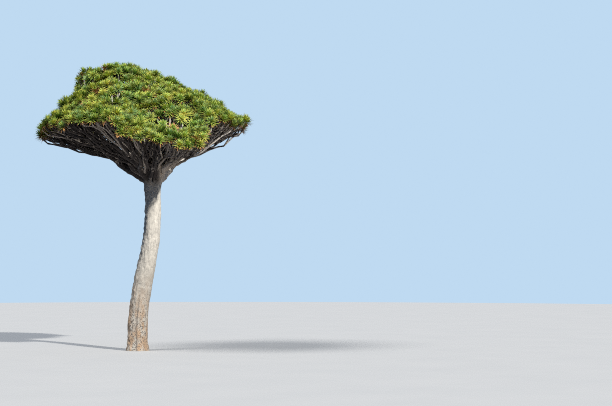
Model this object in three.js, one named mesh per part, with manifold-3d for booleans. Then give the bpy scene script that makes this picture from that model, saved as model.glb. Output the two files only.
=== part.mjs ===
// A dragon blood tree with its umbrella crown, in millimetres, +Z up, seen in the photograph along +Y.
// The origin is the middle of the flat cut at the foot of the trunk, at ground level.
import * as THREE from "three";
import { mergeVertices } from "three/addons/utils/BufferGeometryUtils.js";
import Module from "manifold-3d";

const wasm = await Module();
wasm.setup();

// Trunk: its lean, its taper from the foot to the head, and the head that the boughs leave
const HEAD_HEIGHT = 5250;
const TRUNK_LEAN = 450;
const LEAN_START = 600;
const LEAN_END = 4200;
const TRUNK_BOW = 70;
const LOWER_RADIUS = 298;
const UPPER_RADIUS = 248;
const TAPER_START = 1900;
const TAPER_END = 4400;
const FLARE_RADIUS = 62;
const FLARE_HEIGHT = 260;
const FLARE_LOBES = 5;
const HEAD_SWELL = 72;
const SWELL_START = 4850;
const DOME_START = 5420;
const DOME_HEIGHT = 170;
const TRUNK_SIDES = 15;
const TRUNK_SPANS = 13;
const DOME_SPANS = 3;

// Crown: the surface that carries the leaf rosettes, a lopsided dome over a wavy rim
const APEX = new THREE.Vector3(-470, 0, 8730);
const CROWN_X = 170;
const RIM_REACH = 3140;
const CROWN_DEPTH = 0.96;
const RIM_WAVE = 0.02;
const RIM_WAVES = 5;
const RIM_HEIGHT = 6900;
const RIM_TILT = 60;
const RIM_SIDES = [
  { azimuth: 228, width: 16, rise: 80, out: 0 },
  { azimuth: 182, width: 24, rise: -100, out: 0.03 },
];
const LOBE = { start: [244, 258], end: [303, 322], deepen: [262, 294], drop: 540, deepest: 720 };
const BULGE = 1.48;
const BULGE_LEAN = 0.12;
const STEPS = [
  { edge: 0.55, azimuth: 184, width: 42, proud: 350, before: 0.34, sunk: 150, after: 0.18 },
  { edge: 0.8, azimuth: 186, width: 44, proud: 80, before: 0.1, sunk: 140, after: 0.13 },
  { edge: 0.8, azimuth: 283, width: 26, proud: 100, before: 0.14, sunk: 100, after: 0.14 },
  { edge: 0.84, azimuth: 2, width: 30, proud: 160, before: 0.26, sunk: 30, after: 0.1 },
];
const STEP_SOFTNESS = 0.02;
const TERRACE = 0.15;
const MASS_DROOP = 60;
const MASS_HALF_WIDTH = 700;

// Masses of foliage: rings of masses from the rim to the top, as shares of the reach
const RINGS = [
  { name: "rim", count: 12, turn: 8, share: 0.85, seat: 0.52, hang: 680 },
  { name: "middle", count: 8, turn: -14, share: 0.52, seat: 0.6, hang: 700 },
  { name: "top", count: 4, turn: -14, share: 0.19, seat: 0.6, hang: 620 },
];
const CELL_GAP = 15;
const CORE_SIDES = 10;
const CORE_ROWS = [
  { out: 0, lift: -45 },
  { out: 1, lift: -90 },
  { out: 0.94, lift: -215 },
  { out: 0, lift: -225 },
];
const RIM_LIMIT = 0.97;

// Rosettes: sprays of sword blades that stand out from one short stem, each blade for several real ones
const ROSETTES = 114;
const ROSETTE_SHIFT = 0.06;
const ROSETTE_ROOM = 105;
const ROSETTE_LEAN = 0.75;
const BLADE_LENGTH = 300;
const BLADES_ROUND = 4;
const INNER_BLADES = 27;
const INNER_VALLEYS = 50;
const OUTER_BLADES = 66;
const OUTER_VALLEYS = 98;
const VALLEY_DEPTH = 82;
const ROSETTE_EYE = 75;
const ROSETTE_ROOT = 150;
const GOLDEN_ANGLE = Math.PI * (3 - Math.sqrt(5));
const SEED = 20;

// Limbs: low boughs feed the rim, high boughs the middle and the top
const LOW_BOUGHS = { count: 6, turn: 8, rise: 0.56, run: 0.5, start: 5080, arch: 0.62, radius: 118 };
const HIGH_BOUGHS = { count: 4, turn: 31, rise: 0.56, run: 0.44, start: 5240, arch: 0.74, radius: 112 };
const BOUGH_TAPER = 0.8;
const BOUGH_SIDES = 7;
const BOUGH_STEPS = 3;
const LIMB_RADIUS = 76;
const LIMB_TAPER = 0.74;
const LIMB_SIDES = 5;
const STEM_SIDES = 4;
const STEM_STEPS = 3;
const STEM_BEND = 0.5;
const LIMB_STEPS = 2;
const ROOT_DEPTH = 60;
const TWIG_RADIUS = 23;
const TWIG_GROWTH = 0.28;
const ROSETTES_PER_SPRAY = 6.5;
const TWIG_SIDES = 3;
const FIRST_TWIG = 0.16;
const LAST_TWIG = 0.5;
const TWIG_END = 120;
const CLEARANCE = 0.3;

// Finishes
const BARK = new THREE.MeshStandardMaterial({ color: 0x8d8172, roughness: 0.92, metalness: 0 });
const LIMB_BARK = new THREE.MeshStandardMaterial({ color: 0x6d6055, roughness: 0.9, metalness: 0 });
const FOLIAGE = new THREE.MeshStandardMaterial({ color: 0x6f8436, roughness: 0.6, metalness: 0 });

const { lerp, smoothstep, degToRad, radToDeg } = THREE.MathUtils;
const UP = new THREE.Vector3(0, 0, 1);

/** A repeatable stream of numbers from 0 to 1. */
function seeded(seed) {
  let state = seed;
  return () => {
    state = (state * 1664525 + 1013904223) % 4294967296;
    return state / 4294967296;
  };
}

/** The solid of a closed geometry, with its doubled points and empty faces dropped. */
function solidOf(geometry) {
  geometry.deleteAttribute("normal");
  geometry.deleteAttribute("uv");
  const merged = mergeVertices(geometry, 1e-3);
  const corners = merged.index.array;
  const faces = [];
  for (let i = 0; i < corners.length; i += 3) {
    const [a, b, c] = [corners[i], corners[i + 1], corners[i + 2]];
    if (a !== b && b !== c && c !== a) faces.push(a, b, c);
  }
  const vertProperties = new Float32Array(merged.attributes.position.array);
  const triVerts = new Uint32Array(faces);
  return new wasm.Manifold(new wasm.Mesh({ numProp: 3, vertProperties, triVerts }));
}

/** The largest piece of a solid, without the loose scraps that a cut leaves. */
function largest(solid) {
  return solid.decompose().sort((a, b) => b.volume() - a.volume())[0];
}

/** A solid as a named mesh. */
function meshOf(name, solid, material) {
  const { vertProperties, triVerts } = solid.getMesh();
  const geometry = new THREE.BufferGeometry();
  geometry.setAttribute("position", new THREE.BufferAttribute(vertProperties, 3));
  geometry.setIndex(new THREE.BufferAttribute(triVerts, 1));
  geometry.computeVertexNormals();
  const mesh = new THREE.Mesh(geometry, material);
  mesh.name = name;
  return mesh;
}

/** The middle of the trunk at a height. */
function trunkCentre(height) {
  const lean = TRUNK_LEAN * smoothstep(height, LEAN_START, LEAN_END);
  const bow = TRUNK_BOW * Math.sin((Math.PI * height) / HEAD_HEIGHT);
  return new THREE.Vector3(lean, height < HEAD_HEIGHT ? bow : 0, height);
}

/** The trunk's radius at a height, without the lobes of its root flare. */
function trunkRadius(height) {
  const shaft = lerp(LOWER_RADIUS, UPPER_RADIUS, smoothstep(height, TAPER_START, TAPER_END));
  const radius = shaft + HEAD_SWELL * smoothstep(height, SWELL_START, DOME_START);
  const over = Math.max(0, (height - DOME_START) / DOME_HEIGHT);
  return radius * Math.sqrt(1 - over ** 2);
}

/** The trunk as a turned shape that is then leant, grown by a margin all round. */
function trunkGeometry(margin) {
  const top = DOME_START + DOME_HEIGHT;
  const profile = [new THREE.Vector2(0, 0)];
  for (let i = 0; i <= TRUNK_SPANS; i++) {
    const height = DOME_START * (i / TRUNK_SPANS) ** 1.25;
    profile.push(new THREE.Vector2(trunkRadius(height) + margin, height));
  }
  for (let i = 1; i < DOME_SPANS; i++) {
    const height = DOME_START + DOME_HEIGHT * Math.sin((Math.PI / 2) * (i / DOME_SPANS));
    profile.push(new THREE.Vector2(trunkRadius(height) + margin, height + margin));
  }
  profile.push(new THREE.Vector2(0, top + margin));
  const geometry = new THREE.LatheGeometry(profile, TRUNK_SIDES).rotateX(Math.PI / 2);
  const position = geometry.attributes.position;
  for (let i = 0; i < position.count; i++) {
    const point = new THREE.Vector3().fromBufferAttribute(position, i);
    const height = point.z;
    const lobe = Math.cos(FLARE_LOBES * Math.atan2(point.y, point.x)) * 0.35 + 1;
    const flare = FLARE_RADIUS * Math.exp(-height / FLARE_HEIGHT) * lobe;
    const radius = Math.hypot(point.x, point.y);
    const grown = radius > 0 ? (radius + flare) / radius : 1;
    const centre = trunkCentre(height);
    position.setXYZ(i, point.x * grown + centre.x, point.y * grown + centre.y, height);
  }
  return geometry;
}

/** A tapering tube along a curve, bent from a cylinder and grown by a margin. The side keeps it from twisting. */
function limbGeometry(curve, radiusAt, sides, steps, side, margin = 0) {
  const geometry = new THREE.CylinderGeometry(1, 1, 1, sides, steps);
  const position = geometry.attributes.position;
  for (let i = 0; i < position.count; i++) {
    const along = position.getY(i) + 0.5;
    const tangent = curve.getTangent(along);
    const across = side.clone().addScaledVector(tangent, -side.dot(tangent)).normalize();
    const over = across.clone().cross(tangent);
    const radius = radiusAt(along) + margin;
    const point = curve.getPoint(along);
    if (along < 1e-6) point.addScaledVector(tangent, -margin);
    if (along > 1 - 1e-6) point.addScaledVector(tangent, margin);
    point.addScaledVector(across, position.getX(i) * radius);
    point.addScaledVector(over, position.getZ(i) * radius);
    position.setXYZ(i, point.x, point.y, point.z);
  }
  return geometry;
}

/** The smaller way round between two directions in degrees. */
function angleBetween(a, b) {
  const turn = Math.abs(a - b) % 360;
  return Math.min(turn, 360 - turn);
}

/** How much of a side's own shape the rim takes at an azimuth in degrees. */
function nearness(side, degrees) {
  return Math.exp(-((angleBetween(degrees, side.azimuth) / side.width) ** 2));
}

/** How far the rim lies from the crown's axis at an azimuth in radians. */
function rimReach(azimuth) {
  const degrees = radToDeg(azimuth);
  const out = RIM_SIDES.reduce((sum, side) => sum + side.out * nearness(side, degrees), 0);
  return RIM_REACH * (1 + out + RIM_WAVE * Math.cos(RIM_WAVES * azimuth));
}

/** How far the low lobe of the rim hangs at an azimuth in degrees. */
function lobeDrop(degrees) {
  const turn = (degrees + 360) % 360;
  const within = smoothstep(turn, ...LOBE.start) * (1 - smoothstep(turn, ...LOBE.end));
  return within * lerp(LOBE.drop, LOBE.deepest, smoothstep(turn, ...LOBE.deepen));
}

/** The height of the rim's rosettes at an azimuth in radians. */
function rimHeight(azimuth) {
  const degrees = radToDeg(azimuth);
  const rise = RIM_SIDES.reduce((sum, side) => sum + side.rise * nearness(side, degrees), 0);
  return RIM_HEIGHT + RIM_TILT * Math.cos(azimuth) + rise - lobeDrop(degrees);
}

/** How far a tier of the crown lifts a place before its edge, or sinks it behind. */
function stepLift(step, share, degrees) {
  const out = share - step.edge;
  const up = step.proud * Math.max(0, 1 + Math.min(out, 0) / step.before);
  const down = step.sunk * Math.max(0, 1 - Math.max(out, 0) / step.after);
  return lerp(up, -down, smoothstep(out, -STEP_SOFTNESS, STEP_SOFTNESS)) * nearness(step, degrees);
}

/** The crown's axis at a share of the reach: it leans from the apex to the middle of the rim. */
function axisAt(share) {
  return new THREE.Vector3(lerp(APEX.x, CROWN_X, share), 0, 0);
}

/** A point of the dome, from its share of the reach and its azimuth in radians. */
function domePoint(share, azimuth) {
  const reach = share * rimReach(azimuth);
  const point = axisAt(share);
  point.x += reach * Math.cos(azimuth);
  point.y += reach * Math.sin(azimuth) * CROWN_DEPTH;
  point.z = domeHeight(share, azimuth);
  return point;
}

/** The dome's height at a share of the reach and an azimuth in radians, with its tiers. */
function domeHeight(share, azimuth) {
  const bulge = BULGE - BULGE_LEAN * Math.cos(azimuth);
  const rim = rimHeight(azimuth);
  const lift = STEPS.reduce((sum, step) => sum + stepLift(step, share, radToDeg(azimuth)), 0);
  return rim + (APEX.z - rim) * (1 - Math.min(share, 1.2) ** bulge) + lift;
}

/** The share of the reach and the azimuth of a point in plan, found by closing in on the leaning axis. */
function domeShare(point) {
  let share = 1;
  let azimuth = 0;
  for (let i = 0; i < 12; i++) {
    const axis = axisAt(Math.min(share, 1.2));
    const [dx, dy] = [point.x - axis.x, (point.y - axis.y) / CROWN_DEPTH];
    azimuth = Math.atan2(dy, dx);
    share = Math.hypot(dx, dy) / rimReach(azimuth);
  }
  return { share, azimuth };
}

/** The distance between two points in plan. */
function planDistance(a, b) {
  return Math.hypot(a.x - b.x, a.y - b.y);
}

/** The height of the rosettes over a point in plan: each mass is a terrace that droops at its edge. */
function crownHeight(point, mass) {
  const { share, azimuth } = domeShare(point);
  const smooth = domeHeight(share, azimuth);
  const droop = MASS_DROOP * (planDistance(point, mass.centre) / MASS_HALF_WIDTH) ** 2;
  return lerp(smooth, mass.centre.z, TERRACE) - Math.min(droop, 2 * MASS_DROOP);
}

/** The direction that a rosette faces: the dome's slope, held back towards upright. */
function facing(point, mass) {
  const step = 60;
  const east = crownHeight({ x: point.x + step, y: point.y }, mass);
  const west = crownHeight({ x: point.x - step, y: point.y }, mass);
  const north = crownHeight({ x: point.x, y: point.y + step }, mass);
  const south = crownHeight({ x: point.x, y: point.y - step }, mass);
  const slope = ROSETTE_LEAN / (2 * step);
  return new THREE.Vector3((west - east) * slope, (south - north) * slope, 1).normalize();
}

/** How far a point in plan stands inside the walls of a mass's own space. */
function roomInside(point, mass, masses) {
  let room = Infinity;
  for (const other of masses) {
    if (other === mass) continue;
    const apart = planDistance(other.centre, mass.centre);
    const lead = planDistance(point, other.centre) ** 2 - planDistance(point, mass.centre) ** 2;
    room = Math.min(room, lead / (2 * apart));
  }
  return room;
}

/** The masses of foliage, ring by ring, each with its centre on the dome. */
function layOutMasses() {
  return RINGS.flatMap((ring) =>
    Array.from({ length: ring.count }, (_, i) => {
      const azimuth = degToRad(ring.turn + (360 * (i + 0.5)) / ring.count);
      const centre = domePoint(ring.share, azimuth);
      return { name: `${ring.name}_foliage_${i + 1}`, ring, centre, azimuth, sites: [] };
    }),
  );
}

/** Deals the rosettes' places, a sunflower's spiral in plan, out to the masses that they lie in. */
function dealRosettes(masses, count, random) {
  for (let i = 0; i < count; i++) {
    const share = Math.sqrt((i + 0.5) / count);
    const azimuth = i * GOLDEN_ANGLE + ROSETTE_SHIFT * (random() - 0.5);
    const flat = domePoint(share, azimuth);
    const near = masses.reduce((best, mass) =>
      planDistance(mass.centre, flat) < planDistance(best.centre, flat) ? mass : best,
    );
    while (roomInside(flat, near, masses) < ROSETTE_ROOM) flat.lerp(near.centre, 0.05);
    flat.z = crownHeight(flat, near);
    near.sites.push(flat);
  }
}

/** The point under a mass's middle that its limb and stem head for. */
function underOf(mass) {
  return mass.centre.clone().setZ(mass.centre.z - mass.ring.hang);
}

/** The place on the way to a mass where its limb ends and its stem begins. */
function seatOf(mass, head) {
  return head.clone().lerp(underOf(mass), mass.ring.seat);
}

/** The mean of some points. */
function middleOf(points) {
  return points
    .reduce((sum, point) => sum.add(point), new THREE.Vector3())
    .divideScalar(points.length);
}

/** A bough from the trunk's head to the fork under the seats that it feeds. */
function boughCurve(kind, seats) {
  const root = trunkCentre(HEAD_HEIGHT).setZ(kind.start);
  const target = middleOf(seats);
  const fork = new THREE.Vector3(
    lerp(root.x, target.x, kind.run),
    lerp(root.y, target.y, kind.run),
    lerp(root.z, target.z, kind.rise),
  );
  const bend = new THREE.Vector3(
    lerp(root.x, fork.x, 0.5),
    lerp(root.y, fork.y, 0.5),
    lerp(root.z, fork.z, kind.arch),
  );
  return new THREE.QuadraticBezierCurve3(root, bend, fork);
}

/** A limb that carries on from a bough's tip and turns up into its mass. */
function limbCurve(bough, mass) {
  const start = bough.getPoint(1).addScaledVector(bough.getTangent(1), -ROOT_DEPTH);
  const reach = start.distanceTo(mass.seat);
  const ending = underOf(mass).sub(start).normalize();
  const first = start.clone().addScaledVector(bough.getTangent(1), reach * 0.3);
  const last = mass.seat.clone().addScaledVector(ending, -reach * 0.3);
  return new THREE.CubicBezierCurve3(start, first, last, mass.seat);
}

/** A level direction across a curve's run. */
function sideOf(curve) {
  const run = curve.getPoint(1).sub(curve.getPoint(0)).setZ(0);
  return UP.clone().cross(run).normalize();
}

/** The radius of a twig that feeds some rosettes. */
function twigRadius(sprays) {
  return TWIG_RADIUS * (sprays * ROSETTES_PER_SPRAY) ** TWIG_GROWTH;
}

/** A three-sided twig from a point inside the leader to a point inside the core. */
function twigSolid(start, end, radius) {
  const way = end.clone().sub(start);
  const side = Math.abs(way.z) > 0.95 * way.length() ? new THREE.Vector3(1, 0, 0) : UP;
  const radiusAt = (along) => radius * lerp(1.1, 0.9, along);
  return solidOf(limbGeometry(new THREE.LineCurve3(start, end), radiusAt, TWIG_SIDES, 1, side));
}

/** The end of the twig that carries a rosette, inside the core under it. */
function twigEnd(site) {
  return site.clone().setZ(site.z - TWIG_END);
}

/** A mass's stem, which leads on to its furthest rosette, and a twig from along it to each of the others. */
function twigSolids(mass) {
  const way = mass.limb.getTangent(1);
  const start = mass.seat.clone().addScaledVector(way, CLEARANCE);
  const nearFirst = [...mass.sites].sort((a, b) => a.distanceTo(start) - b.distanceTo(start));
  const furthest = twigEnd(nearFirst.pop());
  const bend = start.clone().addScaledVector(way, start.distanceTo(furthest) * STEM_BEND);
  const leader = new THREE.QuadraticBezierCurve3(start, bend, furthest);
  const tip = twigRadius(1);
  const radiusAt = (along) => lerp(LIMB_RADIUS * LIMB_TAPER * 0.92, tip, along ** 0.7);
  const stem = solidOf(limbGeometry(leader, radiusAt, STEM_SIDES, STEM_STEPS, sideOf(mass.limb)));
  const twigs = nearFirst.map((site, i) => {
    const along = lerp(FIRST_TWIG, LAST_TWIG, i / Math.max(1, nearFirst.length - 1));
    return twigSolid(leader.getPoint(along), twigEnd(site), tip);
  });
  return [stem, ...twigs];
}

/** How far a mass's core reaches from its centre along a direction in plan. */
function coreReach(mass, masses, dx, dy) {
  let reach = 0;
  for (let step = 25; step < 2500; step += 25) {
    const point = { x: mass.centre.x + dx * step, y: mass.centre.y + dy * step };
    if (roomInside(point, mass, masses) < CELL_GAP || domeShare(point).share > RIM_LIMIT) break;
    reach = step;
  }
  return reach;
}

/** The corner of a core in one of its sectors: the furthest way that it can go there. */
function coreCorner(mass, masses, sector) {
  const corner = new THREE.Vector2();
  for (const shift of [-0.4, -0.2, 0, 0.2, 0.4]) {
    const turn = (2 * Math.PI * (sector + shift)) / CORE_SIDES;
    const reach = coreReach(mass, masses, Math.cos(turn), Math.sin(turn));
    if (reach > corner.length()) corner.set(Math.cos(turn), Math.sin(turn)).multiplyScalar(reach);
  }
  return corner;
}

/** The dense heart of a mass: a sphere pressed into a slab that fills its share of the crown. */
function coreSolid(mass, masses) {
  const spans = CORE_ROWS.length - 1;
  const geometry = new THREE.SphereGeometry(1, CORE_SIDES, spans).rotateX(Math.PI / 2);
  const corners = Array.from({ length: CORE_SIDES }, (_, k) => coreCorner(mass, masses, k));
  const position = geometry.attributes.position;
  for (let i = 0; i < position.count; i++) {
    const row = CORE_ROWS[Math.round((spans * Math.acos(position.getZ(i))) / Math.PI)];
    const turn = Math.atan2(position.getY(i), position.getX(i)) / (2 * Math.PI);
    const corner = corners[(Math.round(turn * CORE_SIDES) + CORE_SIDES) % CORE_SIDES];
    const point = {
      x: mass.centre.x + corner.x * row.out,
      y: mass.centre.y + corner.y * row.out,
    };
    position.setXYZ(i, point.x, point.y, crownHeight(point, mass) + row.lift);
  }
  return solidOf(geometry);
}

/** The length of a blade that keeps to the mass's own space. */
function bladeLength(site, way, mass, masses, random) {
  let length = BLADE_LENGTH * (0.92 + 0.16 * random());
  const tip = () => site.clone().addScaledVector(way, length);
  while (length > VALLEY_DEPTH && roomInside(tip(), mass, masses) < CELL_GAP) length *= 0.93;
  return Math.max(length, VALLEY_DEPTH);
}

/** A rosette: a sphere drawn out into an inner and an outer ring of blades with valleys between them. */
function rosetteSolid(site, mass, masses, random) {
  const axis = facing(site, mass);
  const east = new THREE.Vector3(1, 0, 0).addScaledVector(axis, -axis.x).normalize();
  const turn = random() * 2 * Math.PI;
  const sides = 2 * BLADES_ROUND;
  const points = new Map();
  const geometry = new THREE.SphereGeometry(1, sides, 3).rotateX(Math.PI / 2);
  const position = geometry.attributes.position;
  for (let i = 0; i < position.count; i++) {
    const [dx, dy, dz] = [position.getX(i), position.getY(i), position.getZ(i)];
    const row = Math.round((3 * Math.acos(dz)) / Math.PI);
    const column = (Math.round((sides * Math.atan2(dy, dx)) / (2 * Math.PI)) + sides) % sides;
    const key = row === 1 || row === 2 ? `${row} ${column}` : `${row}`;
    if (!points.has(key)) {
      const blade = column % 2 === row - 1;
      const polar = [0, blade ? INNER_BLADES : INNER_VALLEYS, blade ? OUTER_BLADES : OUTER_VALLEYS, 180][row];
      const outward = east.clone().applyAxisAngle(axis, turn + (2 * Math.PI * column) / sides);
      const way = axis.clone().multiplyScalar(Math.cos(degToRad(polar)));
      way.addScaledVector(outward, Math.sin(degToRad(polar)));
      const drawn = blade ? bladeLength(site, way, mass, masses, random) : VALLEY_DEPTH;
      const length = [ROSETTE_EYE, drawn, drawn, ROSETTE_ROOT][row];
      points.set(key, site.clone().addScaledVector(way, length));
    }
    position.setXYZ(i, ...points.get(key).toArray());
  }
  return solidOf(geometry);
}

/** A whole mass: its stem, twigs, core and rosettes as one solid. */
function massSolid(mass, masses, random) {
  const rosettes = mass.sites.map((site) => rosetteSolid(site, mass, masses, random));
  return largest(wasm.Manifold.union([...twigSolids(mass), coreSolid(mass, masses), ...rosettes]));
}

/** A bough or limb, cut clear of the pieces that it grows from or beside. */
function cutLimb(curve, radius, taper, sides, steps, hollows) {
  const side = sideOf(curve);
  const radiusAt = (along) => radius * lerp(1, taper, along);
  let solid = solidOf(limbGeometry(curve, radiusAt, sides, steps, side));
  for (const hollow of hollows) solid = solid.subtract(hollow);
  const grown = solidOf(limbGeometry(curve, radiusAt, sides, steps, side, CLEARANCE));
  return { solid: largest(solid), grown };
}

/** The boughs of one kind, with the limbs that each forks into. */
function growBoughs(kind, name, limbName, masses, taken, group) {
  for (let i = 0; i < kind.count; i++) {
    const azimuth = kind.turn + (360 * i) / kind.count;
    const fed = masses.filter(
      (mass) => angleBetween(radToDeg(mass.azimuth), azimuth) < 180 / kind.count,
    );
    const bough = boughCurve(kind, fed.map((mass) => mass.seat));
    const made = cutLimb(bough, kind.radius, BOUGH_TAPER, BOUGH_SIDES, BOUGH_STEPS, taken);
    group.add(meshOf(`${name}_${i + 1}`, made.solid, LIMB_BARK));
    taken.push(made.grown);
    const near = [made.grown];
    fed.forEach((mass, k) => {
      mass.limb = limbCurve(bough, mass);
      const limb = cutLimb(mass.limb, LIMB_RADIUS, LIMB_TAPER, LIMB_SIDES, LIMB_STEPS, near);
      group.add(meshOf(`${limbName}_${i + 1}_${"abcd"[k]}`, limb.solid, LIMB_BARK));
      near.push(limb.grown);
    });
  }
}

const tree = new THREE.Group();
tree.add(meshOf("trunk", solidOf(trunkGeometry(0)), BARK));
const masses = layOutMasses();
const random = seeded(SEED);
dealRosettes(masses, ROSETTES, random);
const head = trunkCentre(HEAD_HEIGHT);
for (const mass of masses) mass.seat = seatOf(mass, head);
const taken = [solidOf(trunkGeometry(CLEARANCE))];
const rim = masses.filter((mass) => mass.ring.name === "rim");
const upper = masses.filter((mass) => mass.ring.name !== "rim");
growBoughs(LOW_BOUGHS, "low_bough", "low_limb", rim, taken, tree);
growBoughs(HIGH_BOUGHS, "high_bough", "high_limb", upper, taken, tree);
for (const mass of masses) tree.add(meshOf(mass.name, massSolid(mass, masses, random), FOLIAGE));

export default tree;
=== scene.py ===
"""A dragon blood tree with its umbrella crown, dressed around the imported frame, in metres, +Z up.

The photograph looks along +Y. The origin is the middle of the trunk's foot at ground level.
"""
import logging
import math
from dataclasses import dataclass, field
from enum import Enum
from typing import Callable, Iterable, Sequence

import bmesh
import bpy
import numpy as np
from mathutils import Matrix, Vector, noise


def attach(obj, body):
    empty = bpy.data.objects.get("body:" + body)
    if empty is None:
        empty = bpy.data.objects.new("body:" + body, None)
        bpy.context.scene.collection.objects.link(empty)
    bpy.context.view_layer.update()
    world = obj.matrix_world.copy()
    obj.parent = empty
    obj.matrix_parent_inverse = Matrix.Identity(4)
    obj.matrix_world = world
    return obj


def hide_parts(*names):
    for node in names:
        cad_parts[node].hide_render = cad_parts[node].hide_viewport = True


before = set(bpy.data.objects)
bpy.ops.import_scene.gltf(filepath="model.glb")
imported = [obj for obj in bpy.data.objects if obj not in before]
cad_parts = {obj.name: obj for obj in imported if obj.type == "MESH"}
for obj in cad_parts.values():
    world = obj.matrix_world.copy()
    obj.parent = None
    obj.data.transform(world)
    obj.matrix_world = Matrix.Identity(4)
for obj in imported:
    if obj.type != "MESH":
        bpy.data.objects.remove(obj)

LOG = logging.getLogger("dragon_blood_tree")
UP = Vector((0.0, 0.0, 1.0))
GOLDEN_ANGLE = math.pi * (3 - math.sqrt(5))
SEED = 20


class Slot(Enum):
    """The record's material slots."""

    TRUNK = "trunk_bark"
    LIMB = "limb_bark"
    FOLIAGE = "foliage"


class Tone(Enum):
    """The plain colours that whole sprays of leaves are dealt."""

    DEEP = "deep"
    MID = "mid"
    MOSS = "moss"
    FRESH = "fresh"
    GOLD = "gold"
    BLUE = "blue"
    DRY = "dry"


def mix(low: float, high: float, share: float) -> float:
    """The value at a share of the way from low to high."""
    return low + (high - low) * share


def smooth_rise(value: float, start: float, end: float) -> float:
    """A rise from 0 at start to 1 at end, level at both."""
    share = min(1.0, max(0.0, (value - start) / (end - start)))
    return share * share * (3 - 2 * share)


def turn_to(a: float, b: float) -> float:
    """The shorter turn from one direction to another in degrees, from -180 to 180."""
    return (b - a + 180) % 360 - 180


def angle_between(a: float, b: float) -> float:
    """The smaller way round between two directions in degrees."""
    return abs(turn_to(a, b))


def middle_of(points: Sequence[Vector]) -> Vector:
    """The mean of some points."""
    return sum(points, Vector()) / len(points)


@dataclass(frozen=True)
class Bend:
    """A gnarled curve drawn by the pull of three or four points, true at its two ends."""

    points: tuple
    gnarl: float = 0.15
    gnarl_scale: float = 2.2

    def pulled(self, along: float, left: int) -> list[Vector]:
        """The curve's points drawn together.

        Args:
            along: the share of the curve.
            left: how many points are left in the end.

        Returns:
            The points that are left.
        """
        row = list(self.points)
        while len(row) > left:
            row = [a.lerp(b, along) for a, b in zip(row, row[1:])]
        return row

    def at(self, along: float) -> Vector:
        """The point at a share of the curve.

        Args:
            along: the share.

        Returns:
            The point, strayed by the gnarl.
        """
        place = self.pulled(along, 1)[0]
        reach = min(1.0, (self.points[-1] - self.points[0]).length)
        stray = noise.noise_vector(place * self.gnarl_scale) * self.gnarl
        return place + stray * reach * math.sin(math.pi * along)

    def way(self, along: float) -> Vector:
        """The direction of the curve at a share of it."""
        near, far = self.pulled(along, 2)
        return (far - near).normalized()


@dataclass
class Shoot:
    """One stretch of bough, limb or twig: the points along it and its radius at each."""

    points: list
    radii: list

    @classmethod
    def along(cls, bend: Bend, steps: int, radius: Callable[[float], float]) -> "Shoot":
        """Follows a curve in some straight steps, with the radius at each share of it."""
        shares = [i / steps for i in range(steps + 1)]
        return cls([bend.at(share) for share in shares], [radius(share) for share in shares])


@dataclass(frozen=True)
class Step:
    """A tier of the crown: it stands proud inside an edge and drops outside it, about an azimuth in degrees.

    The edge slants outwards by a share of the reach for each width of turn.
    """

    edge: float
    azimuth: float
    width: float
    proud: float
    before: float
    sunk: float
    after: float
    slant: float = 0.0
    soft: float = 0.02

    def lift(self, share: float, azimuth: float) -> float:
        """How far the tier lifts or sinks a place.

        Args:
            share: the place's share of the reach.
            azimuth: its azimuth in degrees.

        Returns:
            The rise, below 0 where it sinks.
        """
        turn = turn_to(self.azimuth, azimuth) / self.width
        out = share - self.edge - self.slant * turn
        up = self.proud * max(0.0, 1 + min(out, 0.0) / self.before)
        down = self.sunk * max(0.0, 1 - max(out, 0.0) / self.after)
        return mix(up, -down, smooth_rise(out, -self.soft, self.soft)) * math.exp(-turn * turn)


@dataclass(frozen=True)
class Side:
    """A side of the rim that rises or reaches out, about an azimuth in degrees."""

    azimuth: float
    width: float
    rise: float = 0.0
    out: float = 0.0

    def nearness(self, azimuth: float) -> float:
        """How much of the side's own shape the rim takes at an azimuth in degrees."""
        return math.exp(-((angle_between(azimuth, self.azimuth) / self.width) ** 2))


@dataclass(frozen=True)
class Lobe:
    """A stretch of the rim that hangs low, deepest past its middle, with its azimuths in degrees."""

    start: tuple = (253.2, 257.8)
    end: tuple = (298.0, 309.0)
    deepen: tuple = (280.0, 294.0)
    drop: float = 0.56
    deepest: float = 0.80

    def drop_at(self, azimuth: float) -> float:
        """How far the rim hangs at an azimuth in degrees from 0 to 360."""
        window = smooth_rise(azimuth, *self.start) * (1 - smooth_rise(azimuth, *self.end))
        return window * mix(self.drop, self.deepest, smooth_rise(azimuth, *self.deepen))


@dataclass(frozen=True)
class Ring:
    """A ring of foliage masses round the crown."""

    name: str
    count: int
    turn: float
    share: float
    seat: float
    hang: float


@dataclass
class Mass:
    """One mass of foliage: its ring, its place on the crown and the rosettes dealt to it."""

    name: str
    ring: Ring
    centre: Vector
    azimuth: float
    raised: float = 0.2
    sites: list = field(default_factory=list)

    def leftness(self) -> float:
        """How far to the crown's left the mass stands, from 0 to 1."""
        return max(0.0, -math.cos(self.azimuth))

    def hang(self) -> float:
        """How far under the rosettes the mass's limbs keep, less on the left."""
        return self.ring.hang - self.raised * self.leftness()

    def under(self) -> Vector:
        """The point under the mass's middle that its limb heads for."""
        return self.centre - UP * self.hang()


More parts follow.
